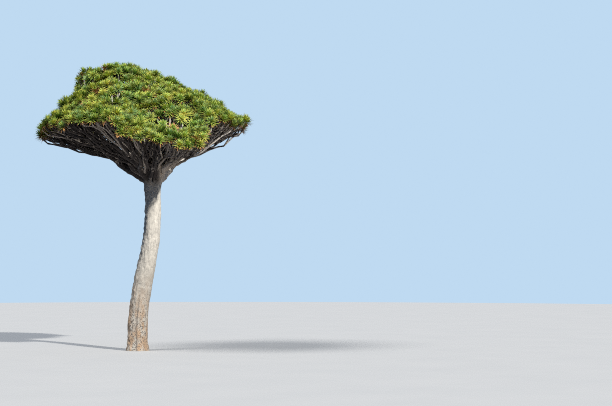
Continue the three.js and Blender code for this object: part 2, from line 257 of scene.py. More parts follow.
@dataclass(frozen=True)
class Crown:
    """The surface that carries the rosettes, a lopsided dome over a wavy rim.

    It follows the dome of the solids, with deeper tiers and a deeper lobe.
    """

    apex_x: float = -0.47
    apex_z: float = 8.73
    middle_x: float = 0.17
    rim_reach: float = 3.14
    depth: float = 0.96
    rim_wave: float = 0.02
    rim_waves: int = 5
    rim_height: float = 6.9
    rim_tilt: float = 0.06
    lobe: Lobe = Lobe()
    sides: tuple = (
        Side(228, 16, rise=0.02),
        Side(182, 24, rise=-0.10, out=0.03),
        Side(299, 13, out=0.08),
        Side(320, 10, rise=0.12),
    )
    bulge: float = 1.48
    bulge_lean: float = 0.12
    furthest: float = 1.2
    closings: int = 12
    terrace: float = 0.15
    droop: float = 0.06
    half_width: float = 0.7
    facing_step: float = 0.06
    facing_lean: float = 0.6
    steps: tuple = (
        Step(0.55, 184, 58, 0.35, 0.34, 0.46, 0.30, -0.13),
        Step(0.62, 246, 26, 0.10, 0.14, 0.16, 0.14),
        Step(0.79, 186, 44, 0.12, 0.12, 0.38, 0.26),
        Step(0.80, 283, 30, 0.12, 0.14, 0.28, 0.20),
        Step(0.84, 2, 30, 0.16, 0.26, 0.03, 0.10),
        Step(0.80, 304, 13, 0.14, 0.14, 0.16, 0.16),
    )
    rings: tuple = (
        Ring("rim", 12, 8, 0.85, 0.52, 0.68),
        Ring("middle", 8, -14, 0.52, 0.6, 0.7),
        Ring("top", 4, -14, 0.19, 0.6, 0.62),
    )

    def reach(self, azimuth: float) -> float:
        """How far the rim lies from the axis at an azimuth in radians."""
        out = sum(side.out * side.nearness(math.degrees(azimuth)) for side in self.sides)
        return self.rim_reach * (1 + out + self.rim_wave * math.cos(self.rim_waves * azimuth))

    def rim(self, azimuth: float) -> float:
        """The height of the rim.

        Args:
            azimuth: the direction from the axis in radians.

        Returns:
            The height above the ground.
        """
        degrees = math.degrees(azimuth) % 360
        rise = sum(side.rise * side.nearness(degrees) for side in self.sides)
        return self.rim_height + self.rim_tilt * math.cos(azimuth) + rise - self.lobe.drop_at(degrees)

    def axis(self, share: float) -> float:
        """Where the crown's leaning axis stands at a share of the reach."""
        return mix(self.apex_x, self.middle_x, share)

    def height(self, share: float, azimuth: float) -> float:
        """The smooth dome's height.

        Args:
            share: the share of the reach.
            azimuth: the direction from the axis in radians.

        Returns:
            The height above the ground.
        """
        bulge = self.bulge - self.bulge_lean * math.cos(azimuth)
        rim = self.rim(azimuth)
        lift = sum(step.lift(share, math.degrees(azimuth)) for step in self.steps)
        return rim + (self.apex_z - rim) * (1 - min(share, self.furthest) ** bulge) + lift

    def point(self, share: float, azimuth: float) -> Vector:
        """A point of the smooth dome.

        Args:
            share: the share of the reach.
            azimuth: the direction from the axis in radians.

        Returns:
            The point.
        """
        reach = share * self.reach(azimuth)
        x = self.axis(share) + reach * math.cos(azimuth)
        y = reach * math.sin(azimuth) * self.depth
        return Vector((x, y, self.height(share, azimuth)))

    def share_of(self, x: float, y: float) -> tuple[float, float]:
        """Finds a place in plan on the dome, closing in on the leaning axis.

        Args:
            x: the place across the view.
            y: the place along the view.

        Returns:
            The share of the reach and the azimuth in radians.
        """
        share, azimuth = 1.0, 0.0
        for _ in range(self.closings):
            dx = x - self.axis(min(share, self.furthest))
            dy = y / self.depth
            azimuth = math.atan2(dy, dx)
            share = math.hypot(dx, dy) / self.reach(azimuth)
        return share, azimuth

    def lay_out(self) -> list[Mass]:
        """The masses of foliage, ring by ring, each with its centre on the dome.

        Returns:
            The masses, without rosettes yet.
        """
        masses = []
        for ring in self.rings:
            for i in range(ring.count):
                azimuth = math.radians(ring.turn + 360 * (i + 0.5) / ring.count)
                centre = self.point(ring.share, azimuth)
                masses.append(Mass(f"{ring.name}_foliage_{i + 1}", ring, centre, azimuth))
        return masses

    def height_over(self, x: float, y: float, mass: Mass) -> float:
        """The height of the rosettes over a place: each mass is a terrace that droops at its edge.

        Args:
            x: the place across the view.
            y: the place along the view.
            mass: the mass that the place lies in.

        Returns:
            The height above the ground.
        """
        smooth = self.height(*self.share_of(x, y))
        out = math.hypot(x - mass.centre.x, y - mass.centre.y) / self.half_width
        return mix(smooth, mass.centre.z, self.terrace) - min(self.droop * out * out, 2 * self.droop)

    def slope(self, site: Vector, mass: Mass) -> Vector:
        """How fast the rosettes' height falls at a place.

        Args:
            site: the place.
            mass: the mass that the place lies in.

        Returns:
            A level vector that points downhill, as long as the slope is steep.
        """
        step = self.facing_step
        east = self.height_over(site.x + step, site.y, mass)
        west = self.height_over(site.x - step, site.y, mass)
        north = self.height_over(site.x, site.y + step, mass)
        south = self.height_over(site.x, site.y - step, mass)
        return Vector((west - east, south - north, 0.0)) / (2 * step)


@dataclass
class Rosette:
    """One rosette of sword leaves: its place, the way it faces, its turn, size and tone."""

    place: Vector
    facing: Vector
    turn: float
    size: float
    tone: Tone
    skirt: int


@dataclass
class Canopy:
    """The rosettes of the whole crown, dealt out to the masses by a sunflower's spiral."""

    crown: Crown
    rosettes: int = 850
    shift: float = 0.5
    shift_eased: float = 8.0
    nudge: float = 0.05
    bob: float = 0.105
    humps: float = 0.2
    hump_scale: float = 1.5
    hump_place: tuple = (7.21, 11.41, 17.64)
    room: float = 0.02
    sizes: tuple = (0.82, 1.16)
    skirts: tuple = (3, 16)
    full_skirts: float = 0.2
    skirted_rim: float = 0.93
    dry_heads: float = 0.055
    dry_size: float = 0.85
    drift_scale: float = 1.4
    drift_place: tuple = (4.2, 1.7, 0.0)
    drift: float = 0.35
    tone_limits: tuple = ((0.11, Tone.BLUE), (0.30, Tone.DEEP), (0.60, Tone.MID), (0.92, Tone.FRESH))
    steep: float = 0.85
    most_filled: int = 3
    spacing: float = 0.22
    masses: list = field(default_factory=list)
    grown: list = field(default_factory=list)

    def room_inside(self, place: Vector, mass: Mass) -> float:
        """How far a place in plan stands inside the walls of a mass's own space.

        Args:
            place: the place.
            mass: the mass.

        Returns:
            The distance to the nearest wall, below 0 outside.
        """
        room = math.inf
        for other in self.masses:
            if other is mass:
                continue
            apart = (other.centre - mass.centre).to_2d().length
            away = (place - other.centre).to_2d().length_squared
            near = (place - mass.centre).to_2d().length_squared
            room = min(room, (away - near) / (2 * apart))
        return room

    def tone_at(self, place: Vector, chance: float) -> Tone:
        """The tone of a rosette, in drifts over the crown.

        Args:
            place: where the rosette stands.
            chance: a random share that breaks up the drifts.

        Returns:
            The tone.
        """
        drifted = noise.noise(place * self.drift_scale + Vector(self.drift_place)) * self.drift + chance
        for limit, tone in self.tone_limits:
            if drifted < limit:
                return tone
        return Tone.GOLD

    def stand(self, site: Vector, share: float, mass: Mass, rng: np.random.Generator) -> None:
        """Stands a rosette on the crown and gives it its turn, size and tone.

        Args:
            site: its place in plan.
            share: its share of the reach.
            mass: the mass that it belongs to.
            rng: where its chances come from.
        """
        ground = Vector((site.x, site.y, 0.0)) * self.hump_scale + Vector(self.hump_place)
        height = self.crown.height_over(site.x, site.y, mass) + self.humps * noise.noise(ground)
        site = Vector((site.x, site.y, height + self.bob * (rng.random() * 2 - 1)))
        facing = (self.crown.slope(site, mass) * self.crown.facing_lean + UP).normalized()
        turn, chance, size = rng.random() * math.tau, rng.random(), mix(*self.sizes, rng.random())
        skirt = self.skirts[rng.random() < self.full_skirts or share > self.skirted_rim]
        tone = self.tone_at(site, chance)
        if rng.random() < self.dry_heads and share < self.skirted_rim:
            tone = Tone.DRY
            size *= self.dry_size
        self.grown.append(Rosette(site, facing, turn, size, tone, skirt))
        mass.sites.append(site)

    def grow(self) -> None:
        """Deals the rosettes to the masses, with more of them down the steep places."""
        rng, filler = np.random.default_rng(SEED), np.random.default_rng(SEED + 3)
        self.masses = self.crown.lay_out()
        for i in range(self.rosettes):
            share = math.sqrt((i + 0.5) / self.rosettes)
            stray = self.shift * (rng.random() - 0.5) / math.sqrt(1 + i / self.shift_eased)
            azimuth = i * GOLDEN_ANGLE + stray
            site = self.crown.point(share, azimuth)
            mass = min(self.masses, key=lambda each: (each.centre - site).to_2d().length)
            while self.room_inside(site, mass) < self.room:
                site = site.lerp(mass.centre, self.nudge)
            self.stand(site, share, mass, rng)
            slope = self.crown.slope(site, mass)
            for k in range(min(self.most_filled, int(slope.length / self.steep))):
                lower = site + slope.normalized() * self.spacing * (k + 1) / math.hypot(1, slope.length)
                inside = self.crown.share_of(lower.x, lower.y)[0] < 1
                if inside and self.room_inside(lower, mass) > self.room:
                    self.stand(lower, share, mass, filler)


@dataclass(frozen=True)
class BoughKind:
    """A ring of boughs from the trunk's head, each to the fork under the masses that it feeds.

    The fork stands at shares of the rise and of the run to the middle of the limbs' ends.
    """

    name: str
    count: int
    turn: float
    rise: float
    run: float
    start: float
    arch: float
    radius: float


@dataclass
class Skeleton:
    """Boughs, limbs and twigs, grown from the head to every rosette by the source's rule."""

    canopy: Canopy
    head: Vector = field(default_factory=lambda: Vector((0.45, 0.0, 5.25)))
    kinds: tuple = (
        BoughKind("low", 6, 8, 0.45, 0.50, 5.08, 0.60, 0.122),
        BoughKind("high", 4, 31, 0.56, 0.44, 5.24, 0.74, 0.112),
    )
    bough_steps: int = 8
    limb_steps: int = 6
    twig_steps: int = 3
    bough_leavings: tuple = (0.02, 0.62)
    limb_leavings: tuple = (0.04, 0.4)
    bough_taper: float = 0.8
    bough_flare: float = 0.3
    flare_reach: float = 0.16
    bough_gnarl: float = 0.04
    gnarl_seed: int = 76
    limb_radius: float = 0.076
    limb_taper: float = 0.74
    side_radius: float = 0.056
    side_girths: tuple = (0.7, 1.4)
    side_end: float = 1.1
    burl: tuple = ((0.58, -0.15, 5.13, 0.09), (0.73, -0.17, 5.34, 0.155), (0.92, -0.14, 5.56, 0.11))
    hang_full: float = 12.0
    sway: float = 0.1
    side_sway: float = 0.24
    twig_sway: float = 0.22
    fanning: float = 0.85
    early: float = 0.72
    left_lift: float = 0.22
    right_lift: float = 0.22
    back_lift: float = 0.20
    # Side limbs in pale bark painted as sunlit: a share anywhere, and more of them towards the front where
    # the sun falls.
    painted_sun_anywhere: float = 0.10
    painted_sun_front: float = 0.38
    painted_sun_way: float = 285.0
    painted_sun_width: float = 70.0
    sectors_by_ring: dict = field(default_factory=lambda: {"rim": 9, "middle": 7, "top": 5})
    root_depth: float = 0.06
    handle: float = 0.3
    twig_radius: float = 0.021
    twig_growth: float = 0.3
    twig_end: float = 0.07
    twig_memory: float = 0.55
    twig_lead: float = 0.4
    twig_rise: float = 0.2
    fork_width: float = 0.6
    fork_girth: float = 1.12
    thick_from: int = 9
    thick: list = field(default_factory=list)
    thin: list = field(default_factory=list)
    # pale: side limbs and their twigs in pale bark painted as sunlit.
    pale: list = field(default_factory=list)
    rng: np.random.Generator = field(default_factory=lambda: np.random.default_rng(SEED + 2))

    def swayed(self, way: Vector, amount: float) -> Vector:
        """A direction that strays a little at random."""
        return (way + Vector(self.rng.uniform(-amount, amount, 3))).normalized()

    def radius_for(self, count: int) -> float:
        """The radius of a twig that feeds some rosettes."""
        return self.twig_radius * count ** self.twig_growth

    def bough_bend(self, kind: BoughKind, target: Vector) -> Bend:
        """The curve of a bough from the head towards the middle of its limbs' ends.

        Args:
            kind: the ring that the bough belongs to.
            target: the middle of those ends.

        Returns:
            The curve from the head to the fork.
        """
        root = self.head.copy()
        root.z = kind.start
        fork = Vector((
            mix(root.x, target.x, kind.run),
            mix(root.y, target.y, kind.run),
            mix(root.z, target.z, kind.rise),
        ))
        bend = Vector((mix(root.x, fork.x, 0.5), mix(root.y, fork.y, 0.5), mix(root.z, fork.z, kind.arch)))
        return Bend((root, bend, fork), self.bough_gnarl)

    def limb_bend(self, start: Vector, way: Vector, seat: Vector, under: Vector, sway: float) -> Bend:
        """The curve of a limb.

        Args:
            start: where it leaves its bough.
            way: the bough's direction there.
            seat: where it enters its mass.
            under: the point under the mass that it heads for.
            sway: how much its course strays at random.

        Returns:
            The curve from the start to the seat.
        """
        reach = (seat - start).length
        ending = self.swayed((under - start).normalized(), sway)
        leaving = self.swayed(way, sway)
        out_of_bough = start + leaving * reach * self.handle
        into_mass = seat - ending * reach * self.handle
        return Bend((start, out_of_bough, into_mass, seat))

    def halves(self, sites: list[Vector], way: Vector) -> tuple[list[Vector], list[Vector]]:
        """Parts some rosettes in two, across the widest spread that the limb faces.

        Args:
            sites: the rosettes.
            way: the direction of the limb.

        Returns:
            The two halves.
        """
        spread = np.array([tuple(site) for site in sites])
        spread = spread - spread.mean(axis=0)
        ahead = np.array(way)
        spread = spread - np.outer(spread @ ahead, ahead)
        axis = np.linalg.eigh(spread.T @ spread)[1][:, -1]
        axis = axis if axis[np.argmax(np.abs(axis))] > 0 else -axis
        order = np.argsort(spread @ axis, kind="stable")
        cut = len(sites) // 2
        return [sites[k] for k in order[:cut]], [sites[k] for k in order[cut:]]

    def carry_on(self, start: Vector, way: Vector, sites: list[Vector], radius: float, hang: float,
                 twigs: list[Shoot]) -> None:
        """Carries a limb on by forking in two until every rosette has its twig.

        Args:
            start: the fork that it grows from.
            way: the direction that it grows in.
            sites: the rosettes that it feeds.
            radius: the radius at its start.
            hang: how far under its rosettes a limb that feeds many of them keeps.
            twigs: the list that its thin twigs join.
        """
        count = len(sites)
        low = min(1.0, math.log(count) / math.log(self.hang_full))
        target = middle_of(sites) - UP * (self.twig_end + hang * low)
        reach = (target - start).length
        heading = self.swayed(way * self.twig_memory + (target - start).normalized(), self.twig_sway)
        if count == 1:
            lead, below = heading * reach * self.twig_lead, UP * reach * self.twig_rise
            bend = Bend((start, start + lead, target - below, target))
            shoot = Shoot.along(bend, self.twig_steps, lambda along: mix(radius, self.twig_radius, along))
            twigs.append(shoot)
            return
        step = reach / (math.log2(count) + 1)
        tip = start + heading * step
        bend = Bend((start, start + (way + heading).normalized() * step * 0.5, tip))
        end = self.radius_for(count)
        shoot = Shoot.along(bend, self.twig_steps, lambda along: mix(radius, end, along))
        (self.thick if count >= self.thick_from else twigs).append(shoot)
        for half in self.halves(sites, bend.way(1)):
            toward = (middle_of(half) - tip).normalized()
            thickness = min(end, self.radius_for(len(half)) * self.fork_girth)
            leaving = (bend.way(1) + toward * self.fork_width).normalized()
            self.carry_on(tip, leaving, half, thickness, hang, twigs)

    def sectors(self, mass: Mass) -> list[list[Vector]]:
        """A mass's rosettes in sectors across its limb, in the order of their azimuth.

        Args:
            mass: the mass.

        Returns:
            The rosettes of each sector.
        """
        across = UP.cross((mass.centre - self.head).to_2d().to_3d()).normalized()
        order = sorted(mass.sites, key=lambda site: (site - mass.centre).dot(across))
        count = self.sectors_by_ring[mass.ring.name]
        cuts = [round(len(order) * k / count) for k in range(count + 1)]
        return [order[a:b] for a, b in zip(cuts, cuts[1:])]

    def seat_of(self, mass: Mass, under: Vector, share: float) -> Vector:
        """The place on the way from the head where a limb enters its mass, raised at the sides and back.

        Args:
            mass: the mass.
            under: the point that the limb heads for.
            share: the share of the way to that point.

        Returns:
            The place.
        """
        lift = self.left_lift * mass.leftness() + self.right_lift * max(0.0, math.cos(mass.azimuth))
        lift += self.back_lift * max(0.0, math.sin(mass.azimuth))
        return self.head.lerp(under, share) + UP * lift

    def grow(self) -> None:
        """Grows every bough, its limbs and their twigs, and the burl on the right of the fork."""
        noise.seed_set(self.gnarl_seed)
        self.thick.append(Shoot([Vector(knot[:3]) for knot in self.burl], [knot[3] for knot in self.burl]))
        for kind in self.kinds:
            fits = "rim" if kind.name == "low" else "middle top"
            fed = [mass for mass in self.canopy.masses if mass.ring.name in fits]
            for i in range(kind.count):
                azimuth = kind.turn + 360 * i / kind.count
                near = [m for m in fed if angle_between(math.degrees(m.azimuth), azimuth) < 180 / kind.count]
                self.grow_bough(kind, sorted(near, key=lambda m: turn_to(azimuth, math.degrees(m.azimuth))))

    def grow_bough(self, kind: BoughKind, masses: list[Mass]) -> None:
        """Grows one bough and everything that it carries.

        Args:
            kind: the ring that the bough belongs to.
            masses: the masses that it feeds, in their order round the crown.
        """
        seats = [self.seat_of(mass, mass.under(), mass.ring.seat) for mass in masses]
        bend = self.bough_bend(kind, middle_of(seats))

        def thickness(along: float) -> float:
            """The bough's radius at a share of it."""
            flare = 1 + self.bough_flare * math.exp(-along / self.flare_reach)
            return kind.radius * flare * mix(1, self.bough_taper, along)

        self.thick.append(Shoot.along(bend, self.bough_steps, thickness))
        start = bend.at(1) - bend.way(1) * self.root_depth
        for mass, seat in zip(masses, seats):
            limb = self.limb_bend(start, bend.way(1), seat, mass.under(), self.sway)
            taper = self.limb_radius * self.limb_taper
            shoot = Shoot.along(limb, self.limb_steps, lambda along: mix(self.limb_radius, taper, along))
            self.thick.append(shoot)
            sectors = self.sectors(mass)
            middle = len(sectors) // 2
            self.carry_on(seat, limb.way(1), sectors[middle], taper, mass.hang(), self.thin)
            if mass is masses[-1]:
                sectors.reverse()
            for k, sector in enumerate(sectors):
                if k < middle:
                    self.grow_side(bend, mix(*self.bough_leavings, k / middle), sector, mass)
                elif k > middle:
                    leave = mix(*self.limb_leavings, (len(sectors) - 1 - k) / middle)
                    self.grow_side(limb, leave, sector, mass)

    def grow_side(self, limb: Bend, leave: float, sites: list[Vector], mass: Mass) -> None:
        """Grows a side limb that leaves a bough or limb early and feeds one side of its mass.

        Args:
            limb: the curve of the bough or limb.
            leave: the share of it to leave at.
            sites: the rosettes that it feeds.
            mass: the mass that they belong to.
        """
        under = middle_of(sites) - UP * mass.hang()
        seat = self.seat_of(mass, under, mass.ring.seat * self.early)
        start = limb.at(leave)
        straight = (seat - start).normalized()
        leaving = limb.way(leave).lerp(straight, self.fanning * (1 - leave))
        side = self.limb_bend(start, leaving, seat, under, self.side_sway)
        end = self.radius_for(len(sites)) * self.side_end
        girth = self.side_radius * self.rng.uniform(*self.side_girths)
        # A share of side limbs, more towards the front, get pale bark painted as sunlit.
        turn = angle_between(math.degrees(mass.azimuth), self.painted_sun_way) / self.painted_sun_width
        share = self.painted_sun_anywhere + self.painted_sun_front * math.exp(-turn * turn)
        twigs = self.pale if self.rng.random() < share else self.thin
        twigs.append(Shoot.along(side, self.bough_steps, lambda along: mix(girth, end, along)))
        self.carry_on(seat, side.way(1), sites, end, mass.hang(), twigs)


def as_mesh(name: str, points: Iterable, faces: Iterable, edges: Iterable = ()) -> bpy.types.Mesh:
    """A mesh of plain points, edges and faces.

    Args:
        name: the mesh's name.
        points: its points.
        faces: its faces, as numbers of points.
        edges: its loose edges, as numbers of points.

    Returns:
        The mesh.
    """
    mesh = bpy.data.meshes.new(name)
    mesh.from_pydata(list(points), list(edges), list(faces))
    mesh.validate()
    return mesh


def as_object(name: str, data: bpy.types.ID) -> bpy.types.Object:
    """Links an object at the origin to the scene.

    Args:
        name: the object's name.
        data: the mesh, lamp or lens that it holds.

    Returns:
        The object.
    """
    piece = bpy.data.objects.new(name, data)
    bpy.context.scene.collection.objects.link(piece)
    return piece


def evaluated(name: str, source: bpy.types.Object) -> bpy.types.Object:
    """The result of an object's modifiers as a plain object, in place of the object.

    Args:
        name: the new object's name.
        source: the object with its modifiers.

    Returns:
        The plain object.
    """
    graph = bpy.context.evaluated_depsgraph_get()
    mesh = bpy.data.meshes.new_from_object(source.evaluated_get(graph))
    mesh.name = name
    bpy.data.objects.remove(source)
    return as_object(name, mesh)


def finish_piece(piece: bpy.types.Object, slot: Slot, nodes: Sequence[str]) -> None:
    """Rides a finished piece on the tree in place of its nodes, and reports it.

    Args:
        piece: the piece.
        slot: the material slot, which is not used.
        nodes: the nodes that it stands for.
    """
    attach(piece, "root")
    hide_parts(*nodes)
    faces = sum(len(face.vertices) - 2 for face in piece.data.polygons)
    LOG.info("%s: %d triangles, stands for %d nodes", piece.name, faces, len(nodes))


def tube_faces(rows: int, sides: int) -> list[tuple]:
    """The faces of a closed tube.

    Args:
        rows: how many rings of points it has.
        sides: how many points each ring has.

    Returns:
        The walls, then the two ends.
    """
    faces = []
    for row in range(rows - 1):
        for k in range(sides):
            a, b = row * sides + k, row * sides + (k + 1) % sides
            faces.append((a, b, b + sides, a + sides))
    return faces + [tuple(reversed(range(sides))), tuple(range((rows - 1) * sides, rows * sides))]


def tube(shoot: Shoot, sides: int) -> tuple[list, list]:
    """A closed tube round a shoot.

    Args:
        shoot: the points that it follows, with the radius at each.
        sides: how many sides it has.

    Returns:
        The points and the faces.
    """
    points = []
    ways = [(b - a).normalized() for a, b in zip(shoot.points, shoot.points[1:])]
    ways = [ways[0]] + [(a + b).normalized() for a, b in zip(ways, ways[1:])] + [ways[-1]]
    across = ways[0].orthogonal().normalized()
    for point, way, radius in zip(shoot.points, ways, shoot.radii):
        across = (across - way * across.dot(way)).normalized()
        over = way.cross(across)
        for k in range(sides):
            turn = math.tau * k / sides
            points.append(point + (across * math.cos(turn) + over * math.sin(turn)) * radius)
    return points, tube_faces(len(shoot.points), sides)


@dataclass
class Wood:
    """The trunk, boughs and limbs as one skin of bark, cut in two where the head begins."""

    skeleton: Skeleton
    head_height: float = 5.25
    lean: float = 0.45
    lean_span: tuple = (0.6, 4.2)
    bow: float = 0.07
    lower_radius: float = 0.298
    upper_radius: float = 0.248
    taper_span: tuple = (1.9, 4.4)
    flare: float = 0.062
    flare_height: float = 0.26
    flare_lobes: int = 5
    lobe_depth: float = 0.35
    head_swell: float = 0.072
    swell_span: tuple = (4.85, 5.42)
    top: float = 5.42
    below: float = 0.08
    sides: int = 40
    spans: int = 90
    limb_sides: int = 10
    voxel: float = 0.023
    cut: float = 5.06
    above_all: float = 20.0
    smoothings: int = 5
    smoothing: tuple = (0.55, -0.5)
    limb_span: tuple = (5.0, 5.9)
    lumps: float = 0.016
    lump_scale: float = 2.6
    lump_octaves: tuple = (1.0, 2.0, 3)
    limb_lumps: float = 0.45
    grooves: float = 0.008
    groove_scale: tuple = (15, 15, 2.4)
    limb_grooves: float = 0.5
    pits: float = 0.020
    pit_scale: float = 14.0
    pit_start: float = 0.12
    ragged: float = 0.026
    ragged_scale: float = 9.0
    ragged_place: Vector = field(default_factory=lambda: UP * 7)
    ragged_side: tuple = (0.12, 0.26)

    def centre(self, height: float) -> Vector:
        """The middle of the trunk at a height.

        Args:
            height: the height.

        Returns:
            The middle, with the trunk's lean and bow.
        """
        lean = self.lean * smooth_rise(height, *self.lean_span)
        bow = self.bow * math.sin(math.pi * min(height, self.head_height) / self.head_height)
        return Vector((lean, bow, height))

    def radius(self, height: float, turn: float) -> float:
        """The trunk's radius.

        Args:
            height: the height.
            turn: the direction in radians.

        Returns:
            The radius.
        """
        shaft = mix(self.lower_radius, self.upper_radius, smooth_rise(height, *self.taper_span))
        swell = self.head_swell * smooth_rise(height, *self.swell_span)
        lobe = 1 + self.lobe_depth * math.cos(self.flare_lobes * turn)
        return shaft + swell + self.flare * math.exp(-max(height, 0) / self.flare_height) * lobe

    def trunk_shell(self) -> tuple[list, list]:
        """The points and faces of the plain trunk, from a little below its cut to its head.

        Returns:
            The points and the faces.
        """
        points = []
        for row in range(self.spans + 1):
            height = mix(-self.below, self.top, row / self.spans)
            centre = self.centre(height)
            for k in range(self.sides):
                turn = math.tau * k / self.sides
                radius = self.radius(height, turn)
                points.append(centre + Vector((math.cos(turn), math.sin(turn), 0)) * radius)
        return points, tube_faces(self.spans + 1, self.sides)

    def raw_skin(self) -> bpy.types.Mesh:
        """The trunk, boughs and limbs run together into one closed mesh.

        Returns:
            The mesh, still without relief.
        """
        points, faces = self.trunk_shell()
        for shoot in self.skeleton.thick:
            more, ring = tube(shoot, self.limb_sides)
            faces += [tuple(k + len(points) for k in face) for face in ring]
            points += more
        source = as_object("raw_wood", as_mesh("raw_wood", points, faces))
        remesh = source.modifiers.new("run_together", "REMESH")
        remesh.mode = "VOXEL"
        remesh.voxel_size = self.voxel
        skin = evaluated("wood", source)
        mesh = skin.data
        bpy.data.objects.remove(skin)
        return mesh

    def soften(self, mesh: bpy.types.Mesh) -> None:
        """Rounds the creases where limbs run together, without thinning them.

        Args:
            mesh: the skin.
        """
        points = np.empty(len(mesh.vertices) * 3)
        mesh.vertices.foreach_get("co", points)
        points = points.reshape(-1, 3)
        edges = np.empty(len(mesh.edges) * 2, dtype=np.int64)
        mesh.edges.foreach_get("vertices", edges)
        a, b = edges.reshape(-1, 2).T
        count = np.bincount(np.concatenate([a, b]), minlength=len(points))[:, None]
        for strength in self.smoothing * self.smoothings:
            total = np.zeros_like(points)
            for axis in range(3):
                total[:, axis] = np.bincount(a, points[b, axis], len(points))
                total[:, axis] += np.bincount(b, points[a, axis], len(points))
            points += (total / count - points) * strength
        mesh.vertices.foreach_set("co", points.ravel())
        mesh.update()

    def relief(self, place: Vector) -> float:
        """How far the bark stands out at a place: lumps, upright grooves and pits.

        Args:
            place: the place.

        Returns:
            The height of the relief, below 0 in a pit.
        """
        trunk = 1 - smooth_rise(place.z, *self.limb_span)
        lumps = noise.fractal(place * self.lump_scale, *self.lump_octaves) * self.lumps
        lumps = lumps * mix(self.limb_lumps, 1, trunk)
        upright = Vector(value * scale for value, scale in zip(place, self.groove_scale))
        grooves = noise.noise(upright) * self.grooves * mix(self.limb_grooves, 1, trunk)
        pits = max(0.0, noise.noise(place * self.pit_scale) - self.pit_start) * self.pits
        side = smooth_rise(self.centre(place.z).x - place.x, *self.ragged_side) * trunk
        ragged = noise.noise(place * self.ragged_scale + self.ragged_place) * self.ragged * side
        return lumps + grooves - pits + ragged

    def carve(self, mesh: bpy.types.Mesh) -> None:
        """Moves every point of the skin out or in by the bark's relief.

        Args:
            mesh: the skin.
        """
        moved = [vertex.co + vertex.normal * self.relief(vertex.co) for vertex in mesh.vertices]
        mesh.vertices.foreach_set("co", [value for point in moved for value in point])
        mesh.update()

    def part_between(self, mesh: bpy.types.Mesh, name: str, low: float, high: float) -> bpy.types.Object:
        """The stretch of the skin between two levels, closed by flat cuts.

        Args:
            mesh: the whole skin.
            name: the piece's name.
            low: the lower level.
            high: the upper level.

        Returns:
            The piece.
        """
        form = bmesh.new()
        form.from_mesh(mesh)
        for level, way in ((low, -1), (high, 1)):
            every = form.verts[:] + form.edges[:] + form.faces[:]
            made = bmesh.ops.bisect_plane(
                form, geom=every, plane_co=(0, 0, level), plane_no=(0, 0, way), clear_outer=True)
            rim = [item for item in made["geom_cut"] if isinstance(item, bmesh.types.BMEdge)]
            if rim:
                bmesh.ops.triangulate(form, faces=bmesh.ops.holes_fill(form, edges=rim, sides=0)["faces"])
        bmesh.ops.recalc_face_normals(form, faces=form.faces[:])
        part = bpy.data.meshes.new(name)
        form.to_mesh(part)
        form.free()
        part.polygons.foreach_set("use_smooth", [True] * len(part.polygons))
        return as_object(name, part)

    def build(self) -> None:
        """Builds the trunk and the boughs, and dresses them in bark."""
        mesh = self.raw_skin()
        self.soften(mesh)
        self.carve(mesh)
        trunk = self.part_between(mesh, "trunk_wood", 0.0, self.cut)
        boughs = self.part_between(mesh, "bough_wood", self.cut, self.above_all)
        trunk.data.materials.append(BarkFinish("trunk_bark").paint())
        # The boughs' bark is darker still, as painted shade under the crown.
        boughs.data.materials.append(BarkFinish("bough_bark", limb_painted_tone=(0.05, 0.042, 0.039)).paint())
        finish_piece(trunk, Slot.TRUNK, ["trunk"])
        limbs = [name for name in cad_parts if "bough" in name or "limb" in name]
        finish_piece(boughs, Slot.LIMB, limbs)


class Nodes:
    """A tree of nodes that is built up one node at a time."""

    def __init__(self, tree: bpy.types.NodeTree) -> None:
        """Starts from a tree."""
        self.tree = tree

    def feed(self, socket: bpy.types.NodeSocket, value: object) -> None:
        """Sets a socket, or links it.

        Args:
            socket: the socket that is fed.
            value: a number, a colour, a vector, an object, or what it is linked to.
        """
        value = value.socket if isinstance(value, Value) else value
        if isinstance(value, bpy.types.NodeSocket):
            self.tree.links.new(value, socket)
        elif socket.type == "RGBA":
            socket.default_value = (*value, 1.0)
        else:
            socket.default_value = value

    def node(self, kind: str, inputs: dict | None = None, **settings) -> bpy.types.Node:
        """Adds a node.

        Args:
            kind: the node's type.
            inputs: the value or link of its sockets, by name or number.
            settings: its settings, set first.

        Returns:
            The node.
        """
        node = self.tree.nodes.new(kind)
        for label, value in settings.items():
            setattr(node, label, value)
        for label, value in (inputs or {}).items():
            self.feed(node.inputs[label], value)
        return node


class Recipe(Nodes):
    """A Geometry Nodes tree that is built here, with named inputs."""

    def __init__(self, name: str, inputs: dict[str, str]) -> None:
        """Starts a tree.

        Args:
            name: the tree's name.
            inputs: the kind of socket of each named input.
        """
        super().__init__(bpy.data.node_groups.new(name, "GeometryNodeTree"))
        sockets = self.tree.interface
        self.keys = {}
        for label, kind in {"Source": "NodeSocketGeometry", **inputs}.items():
            self.keys[label] = sockets.new_socket(name=label, in_out="INPUT", socket_type=kind).identifier
        sockets.new_socket(name="Result", in_out="OUTPUT", socket_type="NodeSocketGeometry")
        self.given = self.node("NodeGroupInput").outputs
        self.result = self.node("NodeGroupOutput").inputs[0]

    def attribute(self, name: str, kind: str) -> bpy.types.NodeSocket:
        """A named value that the source's points carry."""
        return self.node("GeometryNodeInputNamedAttribute", {"Name": name}, data_type=kind).outputs[0]

    def close(self, geometry: bpy.types.NodeSocket) -> None:
        """Ends the tree in real geometry with its material.

        Args:
            geometry: what the tree has made.
        """
        real = self.node("GeometryNodeRealizeInstances", {"Geometry": geometry}).outputs[0]
        parts = {"Geometry": real, "Material": self.given["Finish"]}
        self.feed(self.result, self.node("GeometryNodeSetMaterial", parts).outputs[0])

    def make(self, name: str, source: bpy.types.Mesh, values: dict) -> bpy.types.Object:
        """Runs the tree on a source.

        Args:
            name: the name of the piece.
            source: the mesh whose points or edges it works on.
            values: the value of each named input.

        Returns:
            The piece as a plain mesh.
        """
        holder = as_object(name + "_source", source)
        modifier = holder.modifiers.new("recipe", "NODES")
        modifier.node_group = self.tree
        for label, value in values.items():
            modifier[self.keys[label]] = value
        return evaluated(name, holder)


